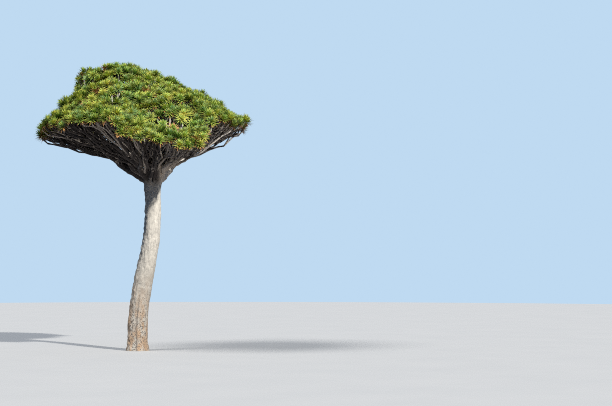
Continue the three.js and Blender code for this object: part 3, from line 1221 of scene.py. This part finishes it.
@dataclass
class Twigs:
    """Side limbs and the twigs that carry the rosettes, drawn as round tubes along their shoots."""

    name: str
    shoots: list
    finish: "BarkFinish"
    sides: int = 6

    def recipe(self) -> Recipe:
        """The tree that draws a tapering tube along every line of its source.

        Returns:
            The tree, ready to run.
        """
        recipe = Recipe("twig_tubes", {"Sides": "NodeSocketInt", "Finish": "NodeSocketMaterial"})
        lines = recipe.node("GeometryNodeMeshToCurve", {"Mesh": recipe.given["Source"]})
        round_form = {"Resolution": recipe.given["Sides"], "Radius": 1.0}
        tubes = recipe.node("GeometryNodeCurveToMesh", {
            "Curve": lines.outputs[0],
            "Profile Curve": recipe.node("GeometryNodeCurvePrimitiveCircle", round_form).outputs[0],
            "Scale": recipe.attribute("thickness", "FLOAT"),
            "Fill Caps": True,
        })
        recipe.close(tubes.outputs[0])
        return recipe

    def lines(self) -> bpy.types.Mesh:
        """The twigs as lines of points that carry their thickness.

        Returns:
            The mesh of lines.
        """
        points, edges, radii = [], [], []
        for shoot in self.shoots:
            first = len(points)
            points += shoot.points
            radii += shoot.radii
            edges += [(k, k + 1) for k in range(first, len(points) - 1)]
        mesh = bpy.data.meshes.new("twig_lines")
        mesh.from_pydata(points, edges, [])
        mesh.attributes.new("thickness", "FLOAT", "POINT").data.foreach_set("value", radii)
        return mesh

    def build(self, nodes: Sequence[str]) -> None:
        """Builds the twigs in bark.

        Args:
            nodes: the masses that they stand for.
        """
        values = {"Sides": self.sides, "Finish": self.finish.paint()}
        piece = self.recipe().make(self.name, self.lines(), values)
        piece.data.polygons.foreach_set("use_smooth", [True] * len(piece.data.polygons))
        finish_piece(piece, Slot.FOLIAGE, nodes)


@dataclass
class Foliage:
    """The rosettes' sword leaves, each a closed blade of ten faces, joined by tone."""

    canopy: Canopy
    leaves: int = 64
    spread: float = 1.2
    length: float = 0.205
    width: float = 0.033
    thickness: float = 0.006
    half_widths: tuple = ((0.0, 0.34), (0.42, 0.5))
    keel: float = 0.5
    tip_drop: float = 0.9
    breadths: tuple = (0.82, 1.18)
    counts: tuple = (0.92, 1.08)
    heart: float = 0.26
    stem_rise: float = 0.03
    stem_length: float = 0.09
    stem_girth: float = 0.014
    skirt_polar: tuple = (84, 132)
    skirt_lengths: tuple = (0.7, 1.05)
    inner_length: float = 0.72
    inner_share: float = 2.2
    turned: float = 0.1
    varied: float = 0.6
    base: float = 0.3
    tones: dict = field(default_factory=lambda: {
        Tone.BLUE: (Tone.MID, Tone.BLUE, Tone.DEEP),
        Tone.DEEP: (Tone.MID, Tone.DEEP, Tone.DEEP),
        Tone.MID: (Tone.BLUE, Tone.MID, Tone.MID),
        Tone.FRESH: (Tone.MOSS, Tone.FRESH, Tone.MOSS),
        Tone.GOLD: (Tone.FRESH, Tone.GOLD, Tone.FRESH),
        Tone.DRY: (Tone.MOSS, Tone.DRY, Tone.DRY),
    })

    def leaf_mesh(self) -> bpy.types.Mesh:
        """One sword leaf of unit length along +Y, flat above and keeled below, arching down at its tip.

        Returns:
            The leaf's mesh.
        """
        points = []
        for along, half in self.half_widths:
            points += [(-half, along, 0.0), (half, along, 0.0), (0.0, along, -self.keel)]
        points.append((0.0, 1.0, -self.tip_drop))
        faces = [(0, 2, 1), (0, 1, 4, 3), (1, 2, 5, 4), (2, 0, 3, 5), (3, 4, 6), (4, 5, 6), (5, 3, 6)]
        return as_mesh("sword_leaf", points, faces)

    def recipe(self) -> Recipe:
        """The tree that stands a leaf on every point of its source.

        Returns:
            The tree, ready to run.
        """
        recipe = Recipe("leaf_sprays", {
            "Leaf": "NodeSocketObject",
            "Width": "NodeSocketFloat",
            "Thickness": "NodeSocketFloat",
            "Seed": "NodeSocketInt",
            "Finish": "NodeSocketMaterial",
        })
        leaf = recipe.node("GeometryNodeObjectInfo", {"Object": recipe.given["Leaf"]})
        axes = {
            "Primary Axis": recipe.attribute("along", "FLOAT_VECTOR"),
            "Secondary Axis": recipe.attribute("face", "FLOAT_VECTOR"),
        }
        turned = recipe.node("FunctionNodeAxesToRotation", axes, primary_axis="Y", secondary_axis="Z")
        limits = {2: self.breadths[0], 3: self.breadths[1], "Seed": recipe.given["Seed"]}
        chance = recipe.node("FunctionNodeRandomValue", limits, data_type="FLOAT").outputs[1]
        broad = recipe.node("ShaderNodeMath", {0: recipe.given["Width"], 1: chance}, operation="MULTIPLY")
        size = recipe.node("ShaderNodeCombineXYZ", {
            "X": broad.outputs[0],
            "Y": recipe.attribute("length", "FLOAT"),
            "Z": recipe.given["Thickness"],
        })
        placed = recipe.node("GeometryNodeInstanceOnPoints", {
            "Points": recipe.given["Source"],
            "Instance": leaf.outputs["Geometry"],
            "Rotation": turned.outputs[0],
            "Scale": size.outputs[0],
        })
        recipe.close(placed.outputs[0])
        return recipe

    def spray(self, rosette: Rosette, polar: np.ndarray, turn: np.ndarray, length: np.ndarray,
              down: np.ndarray) -> np.ndarray:
        """The leaves of one spray as rows of place, direction, upper face and length.

        Args:
            rosette: the rosette that they belong to.
            polar: each leaf's angle from the way that the rosette faces.
            turn: each leaf's angle round it.
            length: each leaf's length.
            down: how far down the stem each leaf is rooted.

        Returns:
            One row of ten numbers for each leaf.
        """
        axis = np.array(rosette.facing)
        east = np.array(Vector((1, 0, 0)) - rosette.facing * rosette.facing.x)
        east = east / np.linalg.norm(east)
        north = np.cross(axis, east)
        outward = np.cos(turn)[:, None] * east + np.sin(turn)[:, None] * north
        along = np.cos(polar)[:, None] * axis + np.sin(polar)[:, None] * outward
        face = np.sin(polar)[:, None] * axis - np.cos(polar)[:, None] * outward
        root = np.array(rosette.place) + down[:, None] * axis + outward * self.stem_girth
        return np.hstack([root, along, face, length[:, None]])

    def rosette_rows(self, rosette: Rosette, rng: np.random.Generator) -> dict[Tone, np.ndarray]:
        """The leaves of one rosette, by tone: its heart, body and base, and a dry skirt.

        Args:
            rosette: the rosette.
            rng: where its chances come from.

        Returns:
            The rows of leaves of each tone.
        """
        count = int(self.leaves * rosette.size * mix(*self.counts, rng.random()))
        share = (np.arange(count) + 0.5) / count
        wobble = rng.normal(0, self.turned, (3, count))
        polar = np.arccos(1 - share * self.spread) + wobble[0]
        turn = rosette.turn + GOLDEN_ANGLE * np.arange(count) + wobble[1]
        grown = self.inner_length + (1 - self.inner_length) * np.minimum(1, share * self.inner_share)
        length = self.length * rosette.size * grown * (1 + self.varied * wobble[2])
        rows = self.spray(rosette, polar, turn, length, self.stem_rise - self.stem_length * share)
        cuts = [int(count * self.heart), int(count * (1 - self.base))]
        skirt = rosette.skirt
        polar = np.radians(rng.uniform(*self.skirt_polar, skirt))
        turn = rng.uniform(0, math.tau, skirt)
        length = self.length * rng.uniform(*self.skirt_lengths, skirt)
        dry = self.spray(rosette, polar, turn, length, np.full(skirt, self.stem_rise - self.stem_length))
        result = {Tone.DRY: dry}
        for tone, part in zip(self.tones[rosette.tone], np.split(rows, cuts)):
            result[tone] = np.vstack([result[tone], part]) if tone in result else part
        return result

    def points(self, rows: np.ndarray) -> bpy.types.Mesh:
        """The leaves' roots as points that carry each leaf's direction, upper face and length.

        Args:
            rows: the rows of leaves.

        Returns:
            The mesh of points.
        """
        mesh = bpy.data.meshes.new("leaf_roots")
        mesh.vertices.add(len(rows))
        mesh.vertices.foreach_set("co", rows[:, 0:3].ravel())
        for name, start in (("along", 3), ("face", 6)):
            values = mesh.attributes.new(name, "FLOAT_VECTOR", "POINT").data
            values.foreach_set("vector", rows[:, start:start + 3].ravel())
        mesh.attributes.new("length", "FLOAT", "POINT").data.foreach_set("value", rows[:, 9].copy())
        return mesh

    def build(self, nodes: Sequence[str]) -> None:
        """Builds the leaves of each tone as one piece.

        Args:
            nodes: the masses that they stand for.
        """
        rng = np.random.default_rng(SEED + 1)
        sprays = {tone: [] for tone in Tone}
        for rosette in self.canopy.grown:
            for tone, rows in self.rosette_rows(rosette, rng).items():
                sprays[tone].append(rows)
        leaf = as_object("sword_leaf", self.leaf_mesh())
        recipe = self.recipe()
        for k, (tone, rows) in enumerate(sprays.items()):
            values = {
                "Leaf": leaf,
                "Width": self.width,
                "Thickness": self.thickness,
                "Seed": SEED + k,
                "Finish": LEAF_FINISHES[tone].paint(),
            }
            piece = recipe.make(f"leaves_{tone.value}", self.points(np.vstack(rows)), values)
            finish_piece(piece, Slot.FOLIAGE, nodes)
        bpy.data.objects.remove(leaf)


class Value:
    """A number that varies over a surface, with the sums of shader maths."""

    def __init__(self, paint: "Paint", socket: bpy.types.NodeSocket) -> None:
        """Wraps a socket of a material's nodes."""
        self.paint = paint
        self.socket = socket

    def _sum(self, operation: str, first: "Value | float", second: "Value | float") -> "Value":
        """Adds a Math node that works on two numbers."""
        node = self.paint.node("ShaderNodeMath", {0: first, 1: second}, operation=operation)
        return Value(self.paint, node.outputs[0])

    def __add__(self, other: "Value | float") -> "Value":
        """This and another."""
        return self._sum("ADD", self, other)

    __radd__ = __add__

    def __sub__(self, other: "Value | float") -> "Value":
        """This less another."""
        return self._sum("SUBTRACT", self, other)

    def __rsub__(self, other: "Value | float") -> "Value":
        """Another less this."""
        return self._sum("SUBTRACT", other, self)

    def __mul__(self, other: "Value | float") -> "Value":
        """This times another."""
        return self._sum("MULTIPLY", self, other)

    __rmul__ = __mul__

    def spread(self, width: float) -> "Value":
        """A ridge of height 1 where this is 0, gone at a width to either side."""
        away = self.paint.node("ShaderNodeMath", {0: self}, operation="ABSOLUTE").outputs[0]
        return Value(self.paint, away).rise(width, 0.0)

    def rise(self, start: float, end: float) -> "Value":
        """A smooth rise from 0 to 1, or a fall where the end lies below the start.

        Args:
            start: where it is 0.
            end: where it is 1.

        Returns:
            The risen value.
        """
        low, high = sorted((start, end))
        falls = float(start > end)
        ends = {"Value": self, "From Min": low, "From Max": high, "To Min": falls, "To Max": 1 - falls}
        node = self.paint.node("ShaderNodeMapRange", ends, interpolation_type="SMOOTHSTEP")
        return Value(self.paint, node.outputs[0])


Colour = tuple[float, float, float]


@dataclass(frozen=True)
class Cloud:
    """A cloudy pattern: its grains per metre along each axis, its finer detail and how rough that is."""

    grains: tuple
    detail: float = 3.0
    rough: float = 0.55


class Paint(Nodes):
    """A material that is painted with nodes on Object coordinates."""

    def __init__(self, name: str) -> None:
        """Starts a material with its one shader.

        Args:
            name: the material's name.
        """
        self.material = bpy.data.materials.new(name)
        self.material.use_nodes = True
        super().__init__(self.material.node_tree)
        self.shader = next(node for node in self.tree.nodes if node.type == "BSDF_PRINCIPLED")
        self.place = self.node("ShaderNodeTexCoord").outputs["Object"]

    def stretched(self, factors: tuple[float, float, float]) -> bpy.types.NodeSocket:
        """The place on the surface, stretched along each axis."""
        inputs = {0: self.place, 1: factors}
        return self.node("ShaderNodeVectorMath", inputs, operation="MULTIPLY").outputs[0]

    def noise(self, cloud: Cloud) -> Value:
        """Adds a cloudy pattern.

        Args:
            cloud: the pattern.

        Returns:
            Its numbers, which lie about a half.
        """
        place = self.stretched(cloud.grains)
        inputs = {"Vector": place, "Scale": 1.0, "Detail": cloud.detail, "Roughness": cloud.rough}
        return Value(self, self.node("ShaderNodeTexNoise", inputs).outputs[0])

    def axis(self, name: str) -> Value:
        """The place along one axis in metres."""
        return Value(self, self.node("ShaderNodeSeparateXYZ", {0: self.place}).outputs[name])

    def blend(self, mask: Value, under: object, over: object) -> bpy.types.NodeSocket:
        """One colour over another where a mask says."""
        return self.node("ShaderNodeMix", {0: mask, 6: under, 7: over}, data_type="RGBA").outputs[2]

    def finish(self, colour: object, rough: object, height: Value | None = None, depth: float = 0.01,
               strength: float = 0.8) -> bpy.types.Material:
        """Feeds the shader.

        Args:
            colour: the base colour.
            rough: the roughness.
            height: the fine relief, if any.
            depth: how deep that relief is in metres.
            strength: how much of it shows.

        Returns:
            The material.
        """
        self.feed(self.shader.inputs["Base Color"], colour)
        self.feed(self.shader.inputs["Roughness"], rough)
        if height is not None:
            bump = self.node("ShaderNodeBump", {"Height": height, "Distance": depth, "Strength": strength})
            self.feed(self.shader.inputs["Normal"], bump.outputs[0])
        return self.material


@dataclass(frozen=True)
class BarkFinish:
    """Pale grey bark with upright grain, dark specks, rust near the foot, and painted shade and sun on limbs
    and trunk.
    """

    name: str
    pale: Colour = (0.62, 0.585, 0.52)
    grey: Colour = (0.40, 0.38, 0.345)
    worn: Colour = (0.28, 0.257, 0.225)
    rust: Colour = (0.34, 0.22, 0.13)
    speck: Colour = (0.09, 0.075, 0.065)
    # The limbs' tone, dark by default as painted shade under the crown; the cream is painted sunlight; the
    # last is the burl's painted sunlight.
    limb_painted_tone: Colour = (0.07, 0.058, 0.053)
    painted_sun_cream: Colour = (0.70, 0.63, 0.54)
    burl_painted_sun: Colour = (0.90, 0.82, 0.70)
    grain: Cloud = Cloud((30, 30, 5.5), 4.0, 0.62)
    mottle: Cloud = Cloud((9, 9, 6))
    fine: Cloud = Cloud((34, 34, 24), 3.0, 0.6)
    rusty: Cloud = Cloud((6, 6, 3))
    # The cloud that deals the limbs' cream patches of painted sunlight.
    painted_sun_cloud: Cloud = Cloud((6, 6, 4), 3.0, 0.65)
    lean: float = 0.45
    lean_span: tuple = (0.6, 4.2)
    grey_mix: tuple = (0.65, 0.35)
    grey_patches: tuple = (0.42, 0.64)
    worn_span: tuple = (4.2, 1.6)
    worn_mix: tuple = (0.5, 0.45)
    rust_span: tuple = (2.6, 0.6)
    rust_patches: tuple = (0.36, 0.62)
    rust_cover: float = 0.85
    # Where the limbs' painted shade and their patches of painted sunlight begin.
    limb_start: tuple = (5.03, 5.27)
    painted_sun_limb_patches: tuple = (0.56, 0.70)
    # The cream patch right of the fork and along the right limbs: painted sunlight.
    painted_sun_side: tuple = (0.62, 0.8)
    painted_sun_front: tuple = (0.25, -0.15)
    painted_sun_rise: tuple = (5.08, 5.25)
    painted_sun_fall: tuple = (7.2, 6.4)
    painted_sun_patches: tuple = (0.44, 0.52)
    painted_sun_cover: float = 0.85
    # Where the burl gets its painted sunlight.
    painted_sun_burl_side: tuple = (0.56, 0.70)
    painted_sun_burl_rise: tuple = (5.02, 5.15)
    painted_sun_burl_fall: tuple = (5.85, 5.55)
    painted_sun_burl_cover: float = 0.9
    # Specks crowd the foot as the bark's own flecks, and the trunk's left edge as painted shade.
    speck_low: float = 1.1
    painted_shade_left: float = 0.9
    speck_anywhere: float = 0.12
    speck_crowding: float = 0.03
    painted_shade_edge: tuple = (-0.13, -0.26)
    speck_grains: tuple = (0.56, 0.63)
    speck_fall: tuple = (5.4, 5.0)
    streak: tuple = (-0.03, 0.045)
    streak_wander: float = 0.09
    streak_front: tuple = (0.0, -0.1)
    streak_fall: tuple = (2.0, 1.2)
    streak_cover: float = 0.7
    rough: float = 0.9
    relief: float = 0.025
    relief_mix: tuple = (0.45, 0.4, 0.15)

    def paint(self) -> bpy.types.Material:
        """Paints the bark from its ground up: shaft, foot, limbs, painted sun by the fork and on the burl,
        specks and the dark streak.

        Returns:
            The material.
        """
        paint = Paint(self.name)
        grain, mottle, fine = (paint.noise(cloud) for cloud in (self.grain, self.mottle, self.fine))
        right, back, height = (paint.axis(name) for name in "XYZ")
        across = right - height.rise(*self.lean_span) * self.lean
        low = height.rise(*self.rust_span)
        grey = (grain * self.grey_mix[0] + mottle * self.grey_mix[1]).rise(*self.grey_patches)
        bark = paint.blend(grey, self.pale, self.grey)
        worn = height.rise(*self.worn_span) * (mottle * self.worn_mix[0] + self.worn_mix[1])
        bark = paint.blend(worn, bark, self.worn)
        rust = low * paint.noise(self.rusty).rise(*self.rust_patches)
        bark = paint.blend(rust * self.rust_cover, bark, self.rust)
        # Limbs above the head: dark brown, darker than the bark as painted shade under the crown, with cream
        # patches as painted sunlight.
        painted_sun_spots = paint.noise(self.painted_sun_cloud).rise(*self.painted_sun_limb_patches)
        bark = paint.blend(height.rise(*self.limb_start), bark, paint.blend(painted_sun_spots, self.limb_painted_tone, self.painted_sun_cream))
        # A cream patch right of the fork and along the right limbs, painted sunlight.
        side = right.rise(*self.painted_sun_side) * back.rise(*self.painted_sun_front) * height.rise(*self.painted_sun_rise)
        side = side * height.rise(*self.painted_sun_fall) * mottle.rise(*self.painted_sun_patches)
        bark = paint.blend(side * self.painted_sun_cover, bark, self.painted_sun_cream)
        # The burl painted near white: painted sunlight on it.
        burl = right.rise(*self.painted_sun_burl_side) * height.rise(*self.painted_sun_burl_rise) * height.rise(*self.painted_sun_burl_fall)
        bark = paint.blend(burl * self.painted_sun_burl_cover, bark, self.burl_painted_sun)
        # Specks on the trunk's shaded left edge are painted shade; those low down are the bark's own flecks.
        left = across.rise(*self.painted_shade_edge)
        specked = low * self.speck_low + left * self.painted_shade_left + self.speck_anywhere
        specks = (fine + low * self.speck_crowding).rise(*self.speck_grains)
        bark = paint.blend(specks * specked * height.rise(*self.speck_fall), bark, self.speck)
        middle, width = self.streak
        streak = (across - middle + (mottle - 0.5) * self.streak_wander).spread(width)
        streak = streak * back.rise(*self.streak_front) * height.rise(*self.streak_fall)
        bark = paint.blend(streak * self.streak_cover, bark, self.speck)
        relief = grain * self.relief_mix[0] + fine * self.relief_mix[1] + mottle * self.relief_mix[2]
        return paint.finish(bark, self.rough, relief, self.relief)


@dataclass(frozen=True)
class LeafFinish:
    """A leathery leaf whose colour drifts a little between two shades."""

    name: str
    base: Colour
    drift: Colour
    rough: float = 0.74
    cloud: Cloud = Cloud((2.6, 2.6, 2.6), 2.0)
    fleck: Cloud = Cloud((22, 22, 22), 2.0)
    cloud_share: float = 0.35
    fleck_share: float = 0.65
    shade_span: tuple = (0.42, 0.58)
    smoother: float = 0.12
    rougher: float = 0.25

    def paint(self) -> bpy.types.Material:
        """Paints the leaf.

        Returns:
            The material.
        """
        paint = Paint(self.name)
        cloud, fleck = paint.noise(self.cloud), paint.noise(self.fleck)
        drift = (cloud * self.cloud_share + fleck * self.fleck_share).rise(*self.shade_span)
        shade = paint.blend(drift, self.base, self.drift)
        return paint.finish(shade, fleck * self.rougher + (self.rough - self.smoother))


@dataclass(frozen=True)
class FloorFinish:
    """A plain pale floor with a faint cloudiness."""

    name: str = "pale_floor"
    base: Colour = (0.36, 0.365, 0.37)
    drift: Colour = (0.40, 0.40, 0.40)
    cloud: Cloud = Cloud((0.5, 0.5, 0.5))
    rough: float = 0.85

    def paint(self) -> bpy.types.Material:
        """Paints the floor."""
        paint = Paint(self.name)
        return paint.finish(paint.blend(paint.noise(self.cloud), self.base, self.drift), self.rough)


LEAF_FINISHES = {
    Tone.DEEP: LeafFinish("leaf_deep", (0.09, 0.185, 0.028), (0.21, 0.23, 0.024)),
    Tone.MID: LeafFinish("leaf_mid", (0.155, 0.305, 0.05), (0.36, 0.36, 0.045)),
    Tone.MOSS: LeafFinish("leaf_moss", (0.165, 0.30, 0.045), (0.37, 0.35, 0.04)),
    Tone.FRESH: LeafFinish("leaf_fresh", (0.25, 0.42, 0.08), (0.47, 0.465, 0.07)),
    Tone.GOLD: LeafFinish("leaf_gold", (0.34, 0.47, 0.09), (0.57, 0.47, 0.08)),
    Tone.BLUE: LeafFinish("leaf_blue", (0.11, 0.235, 0.07), (0.27, 0.31, 0.08)),
    Tone.DRY: LeafFinish("leaf_dry", (0.47, 0.235, 0.07), (0.24, 0.125, 0.05), 0.6),
}


@dataclass(frozen=True)
class Lamp:
    """A distant lamp: where its light comes from, its strength, how wide it looks in degrees, its colour."""

    name: str
    place: tuple
    strength: float
    softness: float
    colour: Colour

    def hang(self) -> None:
        """Hangs the lamp in the scene."""
        lamp = bpy.data.lights.new(self.name, "SUN")
        lamp.energy = self.strength
        lamp.angle = math.radians(self.softness)
        lamp.color = self.colour
        as_object(self.name, lamp).rotation_euler = Vector(self.place).to_track_quat("Z", "Y").to_euler()


@dataclass(frozen=True)
class Studio:
    """The pale floor, the soft light and the camera at the photograph's viewing angle."""

    width: int = 612
    height: int = 406
    distance: float = 45.0
    eye: float = 2.6
    metres_per_pixel: float = 0.03103
    foot: tuple = (138, 350)
    sensor: float = 36.0
    furthest: float = 500.0
    floor_radius: float = 60.0
    floor_sides: int = 96
    lamps: tuple = (
        Lamp("key", (0.454, -0.727, 0.515), 5.4, 2.0, (1.0, 0.965, 0.90)),
        Lamp("fill", (-0.5, -0.28, 0.82), 2.95, 24.0, (1.0, 0.98, 0.94)),
        Lamp("bounce", (0.27, -0.45, -0.85), 0.37, 30.0, (1.0, 0.92, 0.84)),
    )
    horizon: tuple = (-0.05, 0.15)
    sky: Colour = (0.42, 0.65, 1.0)
    sky_strength: float = 0.32
    under: Colour = (0.105, 0.10, 0.13)
    backdrop: Colour = (0.52, 0.70, 0.88)

    def camera(self) -> None:
        """The camera, aimed so that the trunk's foot lands on its pixel."""
        focal = self.distance / self.metres_per_pixel
        yaw = math.atan((self.width / 2 - self.foot[0]) / focal)
        pitch = math.atan((self.foot[1] - self.height / 2) / focal) - math.atan(self.eye / self.distance)
        lens = bpy.data.cameras.new("camera")
        lens.sensor_width = self.sensor
        lens.lens = focal * self.sensor / self.width
        lens.clip_end = self.furthest
        camera = as_object("camera", lens)
        camera.location = (0.0, -self.distance, self.eye)
        way = Vector((math.sin(yaw) * math.cos(pitch), math.cos(yaw) * math.cos(pitch), math.sin(pitch)))
        camera.rotation_euler = way.to_track_quat("-Z", "Y").to_euler()
        bpy.context.scene.camera = camera

    def light(self) -> None:
        """A sun from the front right, a soft fill from the left, a bounce off the ground and a pale sky."""
        for lamp in self.lamps:
            lamp.hang()
        self.sky_dome()

    def crisp_picture(self) -> None:
        """Keeps single leaves sharp: plain colours, a narrow pixel filter and no denoiser."""
        bpy.context.scene.view_settings.view_transform = "Standard"
        bpy.context.scene.cycles.use_denoising = False
        bpy.context.scene.cycles.filter_width = 1.0

    def sky_dome(self) -> None:
        """Sets a pale backdrop that lights the tree with sky above the horizon and with dim ground below."""
        world = bpy.data.worlds.new("sky")
        world.use_nodes = True
        nodes = Nodes(world.node_tree)
        way = nodes.node("ShaderNodeTexCoord").outputs["Generated"]
        ends = {"From Min": self.horizon[0], "From Max": self.horizon[1]}
        height = nodes.node("ShaderNodeSeparateXYZ", {0: way}).outputs["Z"]
        above = nodes.node("ShaderNodeMapRange", {"Value": height, **ends}).outputs[0]
        shades = {0: above, 6: self.under, 7: self.sky}
        dome = nodes.node("ShaderNodeMix", shades, data_type="RGBA").outputs[2]
        light = nodes.node("ShaderNodeBackground", {"Color": dome, "Strength": self.sky_strength}).outputs[0]
        backdrop = nodes.node("ShaderNodeBackground", {"Color": self.backdrop}).outputs[0]
        direct = nodes.node("ShaderNodeLightPath").outputs["Is Camera Ray"]
        seen = nodes.node("ShaderNodeMixShader", {0: direct, 1: light, 2: backdrop}).outputs[0]
        nodes.feed(world.node_tree.nodes["World Output"].inputs["Surface"], seen)
        bpy.context.scene.world = world

    def floor(self) -> None:
        """The plain round floor, hidden from diffuse and shadow rays so that the bounce reaches the tree."""
        turns = [math.tau * k / self.floor_sides for k in range(self.floor_sides)]
        rim = [Vector((math.cos(turn), math.sin(turn), 0.0)) * self.floor_radius for turn in turns]
        floor = as_object("floor", as_mesh("floor", rim, [tuple(range(self.floor_sides))]))
        floor.data.materials.append(FloorFinish().paint())
        floor.visible_diffuse = False
        floor.visible_shadow = False


def main() -> None:
    """Builds the tree piece by piece, then the studio round it."""
    logging.basicConfig(level=logging.INFO, format="%(name)s %(message)s")
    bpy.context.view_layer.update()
    canopy = Canopy(Crown())
    canopy.grow()
    skeleton = Skeleton(canopy)
    skeleton.grow()
    masses = [mass.name for mass in canopy.masses]
    Wood(skeleton).build()
    Twigs("twig_wood", skeleton.thin, BarkFinish("twig_bark")).build(masses)
    # Pale bark painted as sunlit, on some side limbs.
    painted_sun_bark = BarkFinish("painted_sun_twig_bark", limb_painted_tone=(0.76, 0.70, 0.62), painted_sun_cream=(0.90, 0.84, 0.76))
    Twigs("pale_twig_wood", skeleton.pale, painted_sun_bark).build(masses)
    Foliage(canopy).build(masses)
    studio = Studio()
    studio.floor()
    studio.light()
    studio.camera()
    studio.crisp_picture()


if __name__ == "__main__":
    main()
